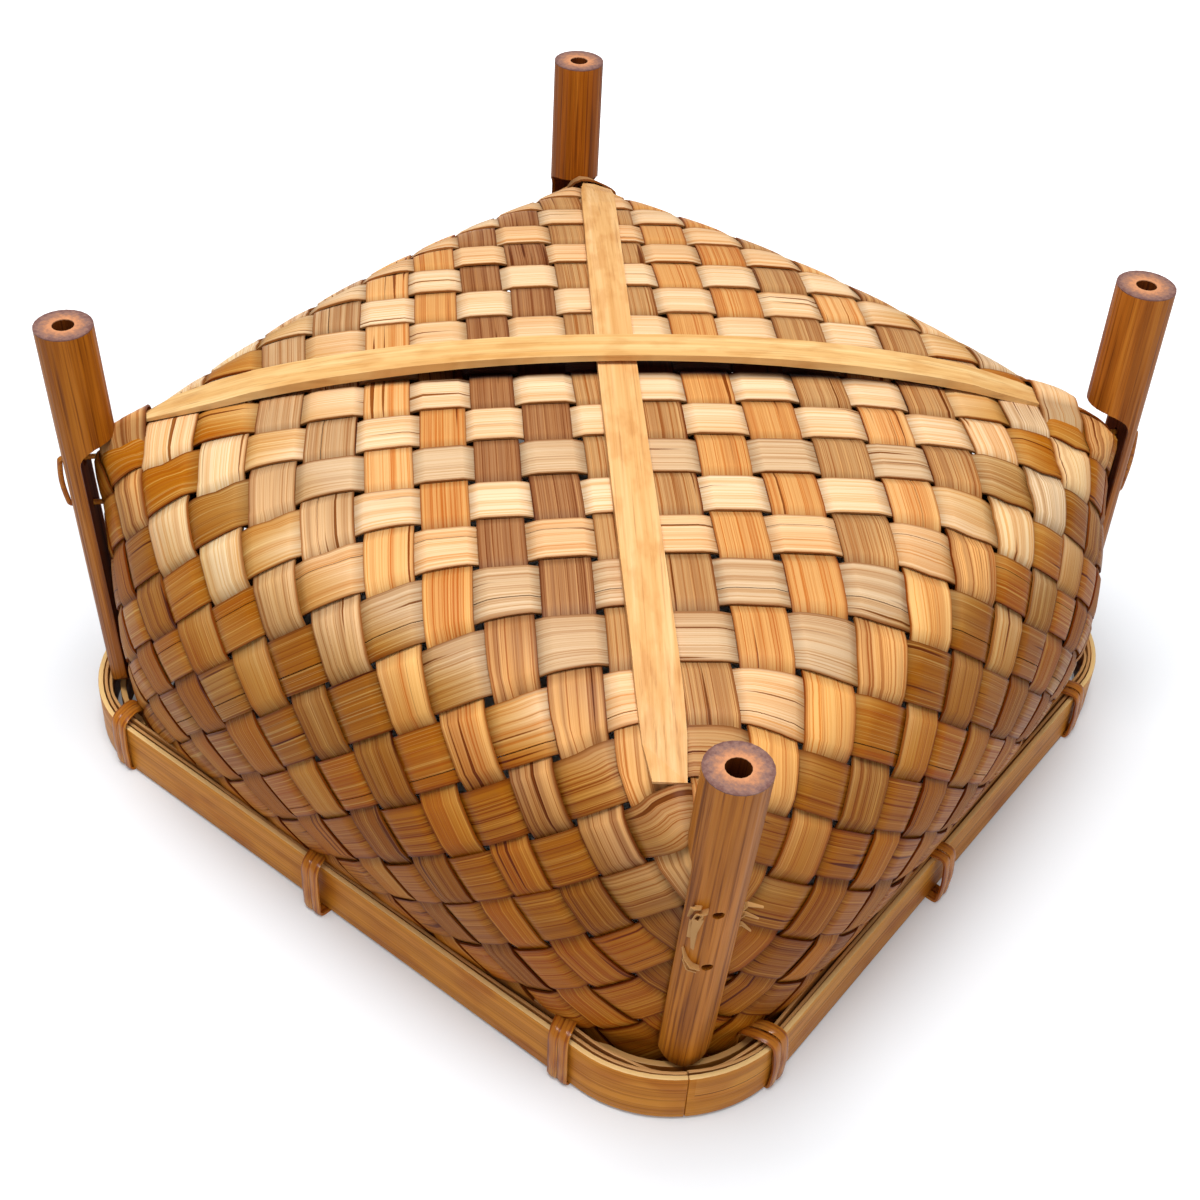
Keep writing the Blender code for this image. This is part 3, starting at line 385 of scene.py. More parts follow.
def hoop_bamboo(name, skin, low, edge, crack=None):
    """Bamboo skin bent into a hoop, polished by handling: streaks run round it and its cut edges are
    pale. A crack line may run along the right-hand front side, at a height, paler above it."""
    mat, tree, shader = new_material(name, 0.36)
    grain = add(tree, "ShaderNodeUVMap", uv_map="grain").outputs["UV"]
    fibre = streaks(tree, grain, (7, 1100, 1), 3, 0.6)
    bands = streaks(tree, grain, (2.5, 170, 1), 1)          # 6 mm across
    blotch = streaks(tree, grain, (26, 60, 1))              # 40 by 17 mm
    tone = add(tree, "ShaderNodeValToRGB", {"Fac": bands}, stops=((0.34, low), (0.56, skin))).outputs[0]
    tone = stained(tree, tone, 0.5, fibre, ((0.30, "b48c60"), (0.46, "f6ecdf"), (0.60, "ffffff")))
    tone = stained(tree, tone, 0.6, blotch, ((0.34, "d8b890"), (0.50, "ffffff")))
    if crack:
        place = add(tree, "ShaderNodeSeparateXYZ", {0: add(tree, "ShaderNodeTexCoord").outputs["Object"]})
        side = add(tree, "ShaderNodeMath", {0: place.outputs[0], 1: CRACK_SIDE}, operation="GREATER_THAN")
        above = add(tree, "ShaderNodeMath", {0: place.outputs[2], 1: crack}, operation="GREATER_THAN")
        line = add(tree, "ShaderNodeMath", {0: place.outputs[2], 1: crack, 2: CRACK_HALF},
                   operation="COMPARE")
        upper, seam = (add(tree, "ShaderNodeMath", {0: side.outputs[0], 1: mask.outputs[0]},
                           operation="MULTIPLY").outputs[0] for mask in (above, line))
        tone = add(tree, "ShaderNodeMix", {"Factor": upper, "A": tone, "B": colour("584020")},
                   data_type="RGBA", blend_type="SCREEN").outputs["Result"]
        tone = add(tree, "ShaderNodeMix", {"Factor": seam, "A": tone, "B": colour("7a5230")},
                   data_type="RGBA", blend_type="MULTIPLY").outputs["Result"]
    up = add(tree, "ShaderNodeSeparateXYZ", {0: add(tree, "ShaderNodeNewGeometry").outputs["Normal"]})
    cut = add(tree, "ShaderNodeMapRange", {"Value": up.outputs[2], "From Min": 0.45, "From Max": 0.75})
    tone = add(tree, "ShaderNodeMix", {"Factor": cut.outputs[0], "A": tone, "B": colour(edge)},
               data_type="RGBA").outputs["Result"]
    finish_grain(tree, shader, tone, fibre, 0.0003, (0.30, 0.46))
    return mat


SAWN_DEPTH = 0.0004
RING_BLUR = 0.0110          # how far the specks push a ring of the sawn end, from one to the other side


def culm_bamboo(name, matrix, radius, skin):
    """A whole bamboo culm, smoked and handled: satin skin with streaks up it, and a sawn end with a
    pale pith and a dark rind."""
    mat, tree, shader = new_material(name, 0.38)
    place = add(tree, "ShaderNodeTexCoord").outputs["Object"]
    inverse = matrix.inverted()
    local = add(tree, "ShaderNodeMapping", {"Vector": place, "Location": inverse.translation,
                                            "Rotation": inverse.to_euler()}).outputs[0]
    fibre = streaks(tree, local, (900, 900, 13), 3, 0.6, flat=False)
    bands = streaks(tree, local, (170, 170, 9), flat=False)
    tone = add(tree, "ShaderNodeValToRGB", {"Fac": bands},
               stops=((0.34, skin[0]), (0.50, skin[1]), (0.66, skin[2]))).outputs[0]
    tone = stained(tree, tone, 0.65, fibre, ((0.36, "84582c"), (0.47, "f0e2cc"), (0.6, "ffffff")))
    # Everything inside the round skin, the lath's flat face and the hollow, is dull, and darkened
    # as painted shade.
    flat = add(tree, "ShaderNodeVectorMath", {0: local, 1: (1, 1, 0)}, operation="MULTIPLY")
    reach = add(tree, "ShaderNodeVectorMath", {0: flat.outputs[0]}, operation="LENGTH").outputs["Value"]
    inner = add(tree, "ShaderNodeMapRange", {"Value": reach, "From Min": 0.93 * radius,
                                             "From Max": 0.86 * radius}).outputs[0]
    tone = add(tree, "ShaderNodeMix", {"Factor": inner, "A": tone, "B": colour("a08468")},
               data_type="RGBA", blend_type="MULTIPLY").outputs["Result"]
    # The sawn end is all that lies near the leg's top. Its rings are blurred by specks of 2.4 mm.
    height = add(tree, "ShaderNodeSeparateXYZ", {0: place})
    end = add(tree, "ShaderNodeMath", {0: height.outputs[2], 1: matrix.translation.z - SAWN_DEPTH},
              operation="GREATER_THAN")
    speck = add(tree, "ShaderNodeTexNoise", {"Vector": local, "Scale": 420, "Detail": 4, "Roughness": 0.7})
    rings = add(tree, "ShaderNodeMath", {0: speck.outputs[0], 1: RING_BLUR, 2: reach},
                operation="MULTIPLY_ADD")
    scaled = add(tree, "ShaderNodeMath", {0: rings.outputs[0], 1: radius + RING_BLUR / 2},
                 operation="DIVIDE")
    sawn = add(tree, "ShaderNodeValToRGB", {"Fac": scaled.outputs[0]},
               stops=((0.38, "8a4a24"), (0.46, "d8996c"), (0.62, "cc8c64"), (0.76, "a8785f"),
                      (0.88, "8c6a60"), (1.0, "74504a")))
    tone = add(tree, "ShaderNodeMix", {"Factor": end.outputs[0], "A": tone, "B": sawn.outputs[0]},
               data_type="RGBA").outputs["Result"]
    finish_grain(tree, shader, tone, fibre, 0.0003, (0.34, 0.50), inner)
    return mat


def planed_bamboo(name, along, tones):
    """Planed bamboo: a pale flat slat with fine straight grain along it and faint grey clouds."""
    mat, tree, shader = new_material(name, 0.45)
    place = add(tree, "ShaderNodeTexCoord").outputs["Object"]
    spin = math.atan2(along[1], along[0])
    local = add(tree, "ShaderNodeMapping", {"Vector": place, "Rotation": (0, 0, -spin)}).outputs[0]
    fibre = streaks(tree, local, (12, 1100, 200), 3, 0.6, flat=False)
    bands = streaks(tree, local, (6, 240, 60), flat=False)
    cloud = streaks(tree, local, (60, 160, 60), 3, flat=False)
    tone = add(tree, "ShaderNodeValToRGB", {"Fac": bands},
               stops=((0.3, tones[0]), (0.5, tones[1]), (0.7, tones[2]))).outputs[0]
    tone = stained(tree, tone, 0.45, fibre, ((0.28, "a8733f"), (0.42, "f0e3d0"), (0.6, "ffffff")))
    tone = stained(tree, tone, 0.35, cloud, ((0.36, "dcb88c"), (0.52, "ffffff")))
    finish_grain(tree, shader, tone, fibre, 0.0003, (0.38, 0.55))
    return mat


def split_cane(name, mapped):
    """Split rattan cane: a hard glassy skin over an orange-brown core. Faint lines run along it where the
    piece has a grain map; otherwise it is only mottled."""
    mat, tree, shader = new_material(name, 0.22, 0.3)
    if mapped:
        grain = add(tree, "ShaderNodeUVMap", uv_map="grain").outputs["UV"]
        bands = streaks(tree, grain, (30, 800, 1))
        cloud = streaks(tree, grain, (60, 120, 1), 1)
    else:
        place = add(tree, "ShaderNodeTexCoord").outputs["Object"]
        bands, cloud = (streaks(tree, place, (n, n, n), flat=False) for n in (500, 90))
    tone = add(tree, "ShaderNodeValToRGB", {"Fac": cloud},
               stops=((0.32, "a85e16"), (0.52, "c27624"), (0.7, "d08c3a"))).outputs[0]
    tone = stained(tree, tone, 0.7, bands, ((0.34, "b07a48"), (0.50, "ffffff")))
    finish_grain(tree, shader, tone, bands, 0.0002, (0.18, 0.30))
    return mat


# Tools for pieces
def fresh(add_primitive, name, **settings):
    """A new mesh primitive, added with nothing else selected."""
    bpy.ops.object.select_all(action="DESELECT")
    add_primitive(**settings)
    obj = bpy.context.object
    obj.name = obj.data.name = name
    return obj


def ribbon(name, steps, rows):
    """A flat grid to shape into a strip, with each point's shares of its length and width, 0 to 1."""
    obj = fresh(bpy.ops.mesh.primitive_grid_add, name, x_subdivisions=steps, y_subdivisions=rows - 1, size=1)
    flat = np.empty(len(obj.data.vertices) * 3)
    obj.data.vertices.foreach_get("co", flat)
    return obj, flat[0::3] + 0.5, flat[1::3] + 0.5


def shape_ribbon(obj, points, along, across, inside):
    """Move a ribbon's points to their places, map its grain in metres along and across it, and turn its
    faces away from a point inside."""
    mesh = obj.data
    mesh.vertices.foreach_set("co", points.ravel())
    corners = np.empty(len(mesh.loops), dtype=int)
    mesh.loops.foreach_get("vertex_index", corners)
    mesh.uv_layers[0].name = "grain"
    mesh.uv_layers[0].data.foreach_set("uv", np.stack([along[corners], across[corners]], -1).ravel())
    mesh.update()
    face = mesh.polygons[len(mesh.polygons) // 2]
    if face.normal.dot(face.center - Vector(inside)) < 0:
        mesh.flip_normals()


def thicken(obj, thickness, offset=0.0):
    """Give a sheet its wall: half on each side, or all behind its faces at offset -1."""
    wall = obj.modifiers.new("thickness", "SOLIDIFY")
    wall.thickness, wall.offset = thickness, offset


def wear_edges(obj, width, angle):
    """Round off the arrises of a piece."""
    soft = obj.modifiers.new("worn arris", "BEVEL")
    soft.width, soft.segments = width, 2
    soft.limit_method, soft.angle_limit = "ANGLE", math.radians(angle)


def finish_piece(obj, mat, node):
    """Put a piece's modifiers and place into its mesh, shade it, give it its material, hang it on the
    root body and hide the CAD node that it stands for.
    """
    bpy.ops.object.select_all(action="DESELECT")
    bpy.context.view_layer.objects.active = obj
    obj.select_set(True)
    for modifier in list(obj.modifiers):
        bpy.ops.object.modifier_apply(modifier=modifier.name)
    bpy.ops.object.transform_apply(location=True, rotation=True, scale=True)
    bpy.ops.object.shade_smooth_by_angle(angle=math.radians(35))
    obj.data.materials.clear()
    obj.data.materials.append(mat)
    obj.select_set(False)
    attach(obj, "root")
    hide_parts(node)


def copied(source, name):
    """A copy of a piece with its own mesh."""
    piece = source.copy()
    piece.data = source.data.copy()
    piece.name = piece.data.name = name
    bpy.context.scene.collection.objects.link(piece)
    return piece


# Woven strips
def line_place(lines, index):
    """A gap line's distance from the middle of the mat, in metres."""
    return index * PITCH + lines[index + STRIPS] / 1000


def strip_centre(lines, index):
    """Middle and width of the strip at a half-numbered place."""
    low, high = (line_place(lines, int(math.floor(index)) + i) for i in (0, 1))
    return (low + high) / 2, high - low - STRIP_GAP


def crossing(family, index, n):
    """Where along its length a strip crosses strip n: beyond the base, those are its own family's
    strips coming round the corner."""
    if abs(n) < STRIPS:
        return strip_centre(LINES["b" if family == "a" else "a"], n)[0]
    beyond = min(abs(n) - STRIPS, STRIPS - 0.5)
    corner = STRIPS * PITCH + abs(strip_centre(LINES[family], -math.copysign(beyond, index))[0])
    return math.copysign(corner + max(abs(n) - STRIPS - beyond, 0) * PITCH, n)


def home_walls(family, index):
    """The walls that a strip's plus and minus ends run down first, by the sign of the end."""
    if family == "a":
        return {1: 0, -1: 1} if index > 0 else {1: 3, -1: 2}
    return {1: 0, -1: 3} if index > 0 else {1: 1, -1: 2}


def flat_point(family, along, across):
    """A point of a strip on the flat mat, whose strips lie on the bias."""
    u, v = (along, across) if family == "a" else (across, along)
    return (u + v) / ROOT2, (v - u) / ROOT2


def strip_end(family, across, sign, home):
    """How far along a line of the strip the mat's lower edge is."""
    reach = sign * np.arange(0.15, 0.55, 0.0005)
    x, y = flat_point(family, reach, np.full_like(reach, across))
    share = mat_place(x, y, np.full(reach.shape, home))[3]
    return float(np.interp(1.98, share, np.abs(reach)))     # 2 is the very edge


def weave_height(family, index, along):
    """Rise and fall of a strip as it passes over and under: 1 over, -1 under."""
    numbers = np.arange(-2 * STRIPS, 2 * STRIPS) + 0.5
    places = np.array([crossing(family, index, n) for n in numbers])
    over = (np.round(numbers + index).astype(int) % 2 == 0) == (family == "a")
    signs = np.where(over, 1.0, -1.0)
    k = np.clip(np.searchsorted(places, along) - 1, 0, len(places) - 2)
    share = (along - places[k]) / (places[k + 1] - places[k])
    flat_until = 0.36       # share of the way to the next crossing over which a strip stays flat
    return signs[k] * np.clip(np.cos(np.pi * share) / math.cos(math.pi * flat_until), -1, 1)


def slat_line(node, slope, half):
    """A slat's middle line, by its place on the front to back diagonal and its slope, and half width."""
    points = np.array([v.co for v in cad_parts[node].data.vertices])
    p, q = on_diagonals(points[:, 0], points[:, 1])
    return float((p - slope * q).mean()), slope, half


UPPER_SLAT = slat_line("slat_left_right", 0.033, 0.0083)
# The strips that hold the slats' ends, by family and index: where along it each passes over, half how
# wide, how high, and how much wider the strip is, towards the base's middle
LIFTS = {("a", -9.5): (-0.0065, 0.0082, 0.0034, 0.0030), ("a", 8.5): (-0.0021, 0.0082, 0.0034, 0.0030),
         ("b", 9.5): (-0.0080, 0.0050, 0.0014, 0.0), ("b", -9.5): (0.0075, 0.0082, 0.0034, 0.0030)}
LIFT_FADE, LIFT_DROP = 0.010, 0.012     # outwards, and inwards to where it goes under the next strip
STRIP_SLANT = 0.045         # the last run of a strip, over which its end is drawn to the mat's edge
WANDER = ((0.0004, 31), (0.0003, 67))       # how far a strip strays sideways, and in how quick a wave
# Runs over which the strips' looks change. The walls age from the fold down, the strips of family b
# nearer the base's middle, and those at its front nearer still.
AGED, AGED_ALONG, AGED_FRONT = (0.002, 0.077), (0.105, 0.205), (-0.010, 0.030)
# Painted highlight: the run past the base's edge where strips of family a get pale colour on the shoulder.
PAINTED_HIGHLIGHT_AT, PAINTED_HIGHLIGHT_REACH = 0.006, 0.034      # the silky shoulder, past the base's edge
SLAT_SHADE, SLAT_SHADE_ENDS = 0.003, (0.135, 0.075)     # its width beside the slat, and where it fades
DIVING, CREVICE_SHADE = (0.9, -0.4), 0.42   # the rise at which a strip goes under the next, and how dark


def lift_over_slat(along, at, half, height):
    """How much higher a strip stands where it passes over a slat's end."""
    off = along - at
    away = np.clip((np.abs(off) - half) / np.where(off * at < 0, LIFT_DROP, LIFT_FADE), 0, 1)
    return height * (0.5 + 0.5 * np.cos(np.pi * away))


def mark_age_and_painted_light(mesh, family, index, points, along, depth, rising):
    """Write the attributes that a strip's material reads: where it has aged, where it gets a painted
    highlight on the shoulder, and where it gets painted shade under the upper slat or the next strip."""
    aged = part_way(depth, *AGED)
    if family == "b":
        aged = np.maximum(aged, part_way(np.abs(along), *AGED_ALONG))
        if index > 0:
            aged = np.maximum(aged, part_way(depth, *AGED_FRONT))
    # The worn mark, on strips of family a only, is a painted highlight on the shoulder.
    painted_highlight = part_way(np.abs(depth - PAINTED_HIGHLIGHT_AT), PAINTED_HIGHLIGHT_REACH, 0.0) * (family == "a")
    # Painted shadow along the upper slat, and painted shade where a strip goes under the next.
    p, q = on_diagonals(points[:, 0], points[:, 1])
    place, slope, half = UPPER_SLAT
    by_slat = part_way(np.abs(p - place - slope * q) - half, SLAT_SHADE, 0.0)
    by_slat *= part_way(np.abs(q), *SLAT_SHADE_ENDS) * (points[:, 2] > FOLD_HEIGHT)
    diving = CREVICE_SHADE * part_way(rising, *DIVING)
    for name, values in (("drop", smooth(aged)), ("worn", smooth(painted_highlight)),
                         ("shade", np.maximum(by_slat, diving))):
        mesh.attributes.new(name, "FLOAT", "POINT").data.foreach_set("value", values)


def cut_on_slant(family, middle, across, along, walls, ends):
    """Bring each line of a strip to the mat's edge, so its ends are cut on the slant."""
    for sign, home in walls.items():
        for value in np.unique(np.round(across, 6)):
            line = np.abs(across - value) < 1e-6
            extra = strip_end(family, middle + value, sign, home) - ends[sign]
            near = part_way(sign * along[line], ends[sign] - STRIP_SLANT, ends[sign])
            along[line] += sign * extra * smooth(near)


def weave_strip(family, index, mat, part=(0.0, 1.0), rows=7):
    """One strip, from the rim up a wall, over the base and down to the rim again. A strip that has split
    lengthwise is woven in parts, each a share of its width."""
    at, half, height, wider = LIFTS.get((family, index), (0.0, 0.0, 0.0, 0.0))
    middle, width = strip_centre(LINES[family], index)
    middle, width = middle - math.copysign(wider / 2, index), width + wider
    walls = home_walls(family, index)
    ends = {sign: strip_end(family, middle, sign, home) for sign, home in walls.items()}
    length = ends[1] + ends[-1]
    name = f"strip_{family}_{int(index + STRIPS + 0.5):02d}" + ("_split" if part[0] else "")
    obj, share_along, share_across = ribbon(name, int(length / STRIP_STEP), rows)
    across = (part[0] + share_across * (part[1] - part[0]) - 0.5) * width
    along = share_along * length - ends[-1]
    cut_on_slant(family, middle, across, along, walls, ends)
    seed = index * 1.7 + (0 if family == "a" else 40)       # sets each strip's grain and wander apart
    wander = sum(size * np.sin(along * rate + k * seed) for k, (size, rate) in enumerate(WANDER, 1))
    side = middle + across + wander
    home = np.where(along > 0, walls[1], walls[-1])

    def place(ahead=0.0, aside=0.0):
        x, y = flat_point(family, along + ahead, side + aside)
        return mat_points(x, y, home)
    on_mat, depth, share = place()
    nearby = 0.0015         # from there the mat's slope is taken
    forward = place(nearby)[0] - place(-nearby)[0]
    sideways = place(0, nearby)[0] - place(0, -nearby)[0]
    normal = np.cross(forward, sideways)
    normal /= np.linalg.norm(normal, axis=1)[:, None]
    inside = (0, 0, 0.05)
    outward = np.sign((normal * (on_mat - np.array(inside))).sum(1))
    rising = weave_height(family, index, along)
    clamped = part_way(share, 0.97, 1.03)       # in the rim, which presses the strips flatter
    rise = WEAVE_RISE * rising * (1 - 0.25 * clamped)
    rise += STRIP_CROWN * np.clip(rising, 0, 1) * (1 - clamped) * (1 - (2 * across / width) ** 2)
    if height:
        rise += lift_over_slat(along, at, half, height)
    points = on_mat + normal * (outward * rise)[:, None]
    shape_ribbon(obj, points, along + seed, across + seed, inside)
    mark_age_and_painted_light(obj.data, family, index, points, along, depth, rising)
    edge = obj.data.attributes.new("edge", "FLOAT", "POINT")
    edge.data.foreach_set("value", np.abs(2 * across / width))
    thicken(obj, STRIP_THICK)
    finish_piece(obj, mat, "woven_shell")


# Each finish's colour on the base, on the walls and in its streaks, and the pale colour of its bare
# fibre lines and of the painted highlight on the shoulder
FINISHES = {
    "cream": ("f4d8b4", "b47222", "f0d4ac", "fde4b8"),
    "pale": ("f0cca1", "ae6c20", "ecc898", "fcdcaa"),
    "silver": ("d8bb98", "a06424", "dcc0a0", "f6dcb8"),
    "grey": ("c6a27a", "9a5e20", "d4b088", "f4cc9c"),
    "honey": ("e6b57a", "b87420", "e8b880", "fcca84"),
    "orange": ("d9a264", "b06c20", "e0ac70", "f8bf74"),
    "tan": ("c09666", "a8681e", "cc9c6c", "f4bc78"),
    "walnut": ("a67750", "985c1a", "c09068", "f0b878"),
}
# The strips' finishes, in order across the mat
STRIP_FINISHES = {
    "a": ("tan", "pale", "cream", "grey", "grey", "honey", "orange", "walnut", "walnut", "tan",
          "tan", "orange", "orange", "tan", "honey", "tan", "pale", "silver", "pale", "tan"),
    "b": ("tan", "pale", "pale", "cream", "pale", "pale", "cream", "cream", "cream", "pale",
          "cream", "cream", "silver", "cream", "pale", "silver", "silver", "pale", "tan", "tan"),
}
# The strips that have split lengthwise: from what share of the width to what share each is open
SPLITS = {("b", 7.5): (0.775, 0.79), ("b", 5.5): (0.655, 0.672), ("b", 4.5): (0.28, 0.295),
          ("a", 4.5): (0.60, 0.612), ("a", -5.5): (0.33, 0.345)}
split_bamboos = {name: split_bamboo(f"split_bamboo_{name}", *codes) for name, codes in FINISHES.items()}
for family, finishes in STRIP_FINISHES.items():
    for number, finish in enumerate(finishes):
        index = number - STRIPS + 0.5
        low, high = SPLITS.get((family, index), (1.0, 1.0))
        weave_strip(family, index, split_bamboos[finish], part=(0.0, low))
        if high < 1:
            weave_strip(family, index, split_bamboos[finish], part=(high, 1.0), rows=4)


# The rim
RIM_STEPS, RIM_ROWS, CORNER_STEPS = 288, 5, 12
SEAM_SHORT = 0.02           # share of a step by which each butted end stops short


def rim_line(inset, corner):
    """Plan points once round the rim, counter-clockwise from the middle of the front corner."""
    straight = RIM_HALF - inset - corner
    points = []
    for turn in range(4):
        for angle in np.linspace(-45, 45, 2 * CORNER_STEPS + 1) + 90 * turn:
            corner_way = math.radians(-45 + 90 * (turn if angle - 90 * turn < 0 else turn + 1))
            centre = [straight * math.copysign(1, f(corner_way)) for f in (math.cos, math.sin)]
            points.append([centre[0] + corner * math.cos(math.radians(angle)),
                           centre[1] + corner * math.sin(math.radians(angle))])
    points = np.array(points + points[:1])
    return np.stack(bowed(points[:, 0], points[:, 1]), -1)


def distances(line):
    """How far along a line of points each of them is."""
    return np.concatenate([[0], np.cumsum(np.linalg.norm(np.diff(line, axis=0), axis=1))])


def spread_along(line, count):
    """A line's points again, evenly spaced, with how far along it each is."""
    run = distances(line)
    at = np.linspace(0, run[-1], count + 1)
    return np.stack([np.interp(at, run, line[:, k]) for k in (0, 1)], -1), at


def corner_share(points):
    """1 in the middle of a corner of the rim, 0 along its sides."""
    off = np.abs(np.abs(points[:, 0]) - np.abs(points[:, 1]))
    return part_way(off, 0.045, 0.0) ** 2


def rim_strip(name, node, mat, inset, thick, low, high, lean=0.0, draw=0.0, waves=0.0):
    """A strip of bamboo on edge round the rim, outer face `inset` from the hoop's and ends butted at the
    front corner. Its top edge leans in and stands in waves, and it draws in at the corners."""
    line, at = spread_along(rim_line(inset, HOOP_CORNER - inset), RIM_STEPS)
    obj, share_along, up = ribbon(name, RIM_STEPS, RIM_ROWS)
    step = np.round(share_along * RIM_STEPS).astype(int)
    wave = waves * (np.sin(at * 23 + 900 * inset) + 0.6 * np.sin(at * 61 + 700 * inset))
    tangent = np.gradient(line, axis=0)
    inward = np.stack([-tangent[:, 1], tangent[:, 0]], -1)
    inward /= np.linalg.norm(inward, axis=1)[:, None]
    corner = corner_share(line)
    top = high(line) if callable(high) else np.full(len(at), high)
    into = draw * corner[step] + lean * up * (1 - corner[step]) + 0.7 * wave[step] * up
    xy = line[step] + inward[step] * into[:, None]
    xy[step == 0] += tangent[1] * SEAM_SHORT
    xy[step == RIM_STEPS] -= tangent[-2] * SEAM_SHORT
    z = low + up * (top[step] + wave[step] - low)
    points = np.stack([xy[:, 0], xy[:, 1], z], -1)
    shape_ribbon(obj, points, share_along * at[-1], z + 7 * inset, (0, 0, (low + HOOP_TOP) / 2))
    thicken(obj, thick, -1.0)
    wear_edges(obj, 0.0005, 60)
    finish_piece(obj, mat, node)


def splint_top(rise, dip, wide):
    """Heights of a splint's top edge: `rise` over the hoop's, but down under the legs' feet."""
    def heights(line):
        off = np.abs(np.abs(line[:, 0]) - np.abs(line[:, 1])) / ROOT2
        return HOOP_TOP + rise - (rise + dip) * smooth(part_way(off, wide + 0.016, wide))
    return heights


hoop_skin = hoop_bamboo("bent_bamboo_hoop", "d88f30", "c67e26", "fcd490", crack=0.0143)
inner_skin = hoop_bamboo("bent_bamboo_inner_hoop", "c07c34", "9c5f22", "e8b470")
splint_skin = hoop_bamboo("bamboo_splint", "a8703a", "855428", "d8a468")
rim_strip("hoop_outer", "outer_hoop", hoop_skin, 0.0, 0.0023, HOOP_BOTTOM, HOOP_TOP, waves=0.00012)
rim_strip("splint_outer", "rim_splint_outer", splint_skin, 0.0027, 0.0016, 0.004,
          splint_top(-0.0002, 0.0, 0.013), waves=0.0003)
rim_strip("splint_inner", "rim_splint_inner", splint_skin, 0.0046, 0.0015, 0.004,
          splint_top(0.0017, 0.0016, 0.010), waves=0.0005, lean=0.0005, draw=0.0004)
rim_strip("hoop_inner", "inner_hoop", inner_skin, MAT_IN + MAT_THICK / 2 + CLEARANCE,
          INNER_HOOP_THICK - CLEARANCE, HOOP_BOTTOM, HOOP_BOTTOM + INNER_HOOP_HEIGHT)


# Lashings
CANE_PITCH, CANE_WIDTH, CANE_THICK = 0.0048, 0.0043, 0.0010
CANE_STEPS, CANE_TURNS = 64, 2          # faces along one turn, and turns of one lashing
STATIONS = (-0.135, -0.010, 0.121)      # along each side from its middle
# Once round the rim's section, in mm: out from the hoop's face, up from the floor. It bulges a little
# on the outer face and rolls over the top.
CANE_ROUND = ((-14.2, 6), (-14.2, 14), (-14.1, 22), (-12.8, 26.2), (-9.2, 27.8), (-5.0, 28.1),
              (-1.2, 27.4), (0.7, 24.9), (1.2, 19), (1.5, 13), (1.2, 7), (0.8, 2.2), (-0.9, 0.62),
              (-6.8, 0.55), (-12.6, 0.6), (-14.0, 2.4))


def through(keys, count):
    """Points along a closed smooth curve through keys."""
    keys = np.array(keys, dtype=float)
    at = np.arange(count) / count * len(keys)
    k, t = at.astype(int), (at % 1)[:, None]
    a, b, c, d = (keys[(k + i) % len(keys)] for i in (-1, 0, 1, 2))
    return 0.5 * (2 * b + (c - a) * t + (2 * a - 5 * b + 4 * c - d) * t ** 2
                  + (3 * b - a - 3 * c + d) * t ** 3)


def cane_lashing(name):
    """Two turns of flat cane round the rim, the second laid partly over the first along the top."""
    loop = through(CANE_ROUND, CANE_STEPS) / 1000
    steps = CANE_TURNS * CANE_STEPS
    obj, share_along, share_across = ribbon(name, steps, 5)
    step = np.round(share_along * steps).astype(int)
    across = share_across - 0.5
    path = loop[np.arange(steps + 1) % CANE_STEPS]
    tangent = np.gradient(path, axis=0)
    tangent /= np.linalg.norm(tangent, axis=1)[:, None]
    normal = np.stack([-tangent[:, 1], tangent[:, 0]], -1)
    turns = np.arange(steps + 1) / CANE_STEPS
    over = part_way(turns % 1, 3 / 16, 7 / 16)      # the run across the top
    under = part_way(turns % 1, 0.70, 0.95)         # and the one across the bottom
    shift = np.floor(turns) + 0.62 * smooth(over) + 0.38 * under
    shift[-1] = CANE_TURNS
    lift = 0.0009 * np.sin(np.pi * over) * (turns > 1)
    rounded = 0.0005 * (1 - 4 * across ** 2)
    section = path[step] + normal[step] * (lift[step] + rounded)[:, None]
    out, up = section[:, 0], section[:, 1]
    y = CANE_PITCH * (shift[step] - 0.95) + CANE_WIDTH * across + 0.0004 * np.sin(up * 160)
    shape_ribbon(obj, np.stack([out, y, up], -1), distances(path)[step], CANE_WIDTH * across,
                 (-0.0065, 0, 0.014))
    thicken(obj, CANE_THICK)
    return obj


def rim_station(turn, along):
    """A lashing's place on the hoop's outer face, its X axis outwards."""
    nearby = 0.001
    (x0, x, x1), (y0, y, y1) = bowed(np.full(3, RIM_HALF), along + nearby * np.array([-1, 0, 1]))
    heading = math.atan2(y1 - y0, x1 - x0) - math.pi / 2
    return (Matrix.Rotation(turn * math.pi / 2, 4, "Z") @ Matrix.Translation((x, y, 0))
            @ Matrix.Rotation(heading, 4, "Z"))


lashing_cane = split_cane("split_rattan_lashing", True)
first = cane_lashing("cane_lashing")
for turn, side in enumerate(("right_front", "right_back", "left_back", "left_front")):
    for number, along in enumerate(STATIONS, 1):
        piece = copied(first, f"cane_{side}_{number}")
        piece.matrix_world = rim_station(turn, along)
        finish_piece(piece, lashing_cane, f"lashing_{side}_{number}")
bpy.data.objects.remove(first)


# The legs and their ties are the CAD's own pieces with a finish.
ROUND_LENGTH = 0.035        # below its end each culm is round for at least this long
SIDE_LEAN = 0.5             # a face whose normal rises less than this is on a culm's side
HOLLOW_REACH = 0.007        # the culms' hollows are smaller than this
# Each culm's skin, from its dark streaks to its light ones
SKINS = {"front": ("a66012", "c2761e", "ce802a"), "right": ("a45e1a", "bc7022", "cc8230"),
         "back": ("8e4e0a", "a85e10", "b8701e"), "left": ("a05a0e", "b86e16", "c87e26")}


def culm_direction(leg):
    """The way up a culm, from its mesh: none of the faces round its side looks along it."""
    top = max(v.co.z for v in leg.vertices)
    sides = np.array([f.normal * f.area for f in leg.polygons
                      if f.center.z > top - ROUND_LENGTH and abs(f.normal.z) < SIDE_LEAN])
    along = Vector(np.linalg.eigh(sides.T @ sides)[1][:, 0])
    return along if along.z > 0 else -along


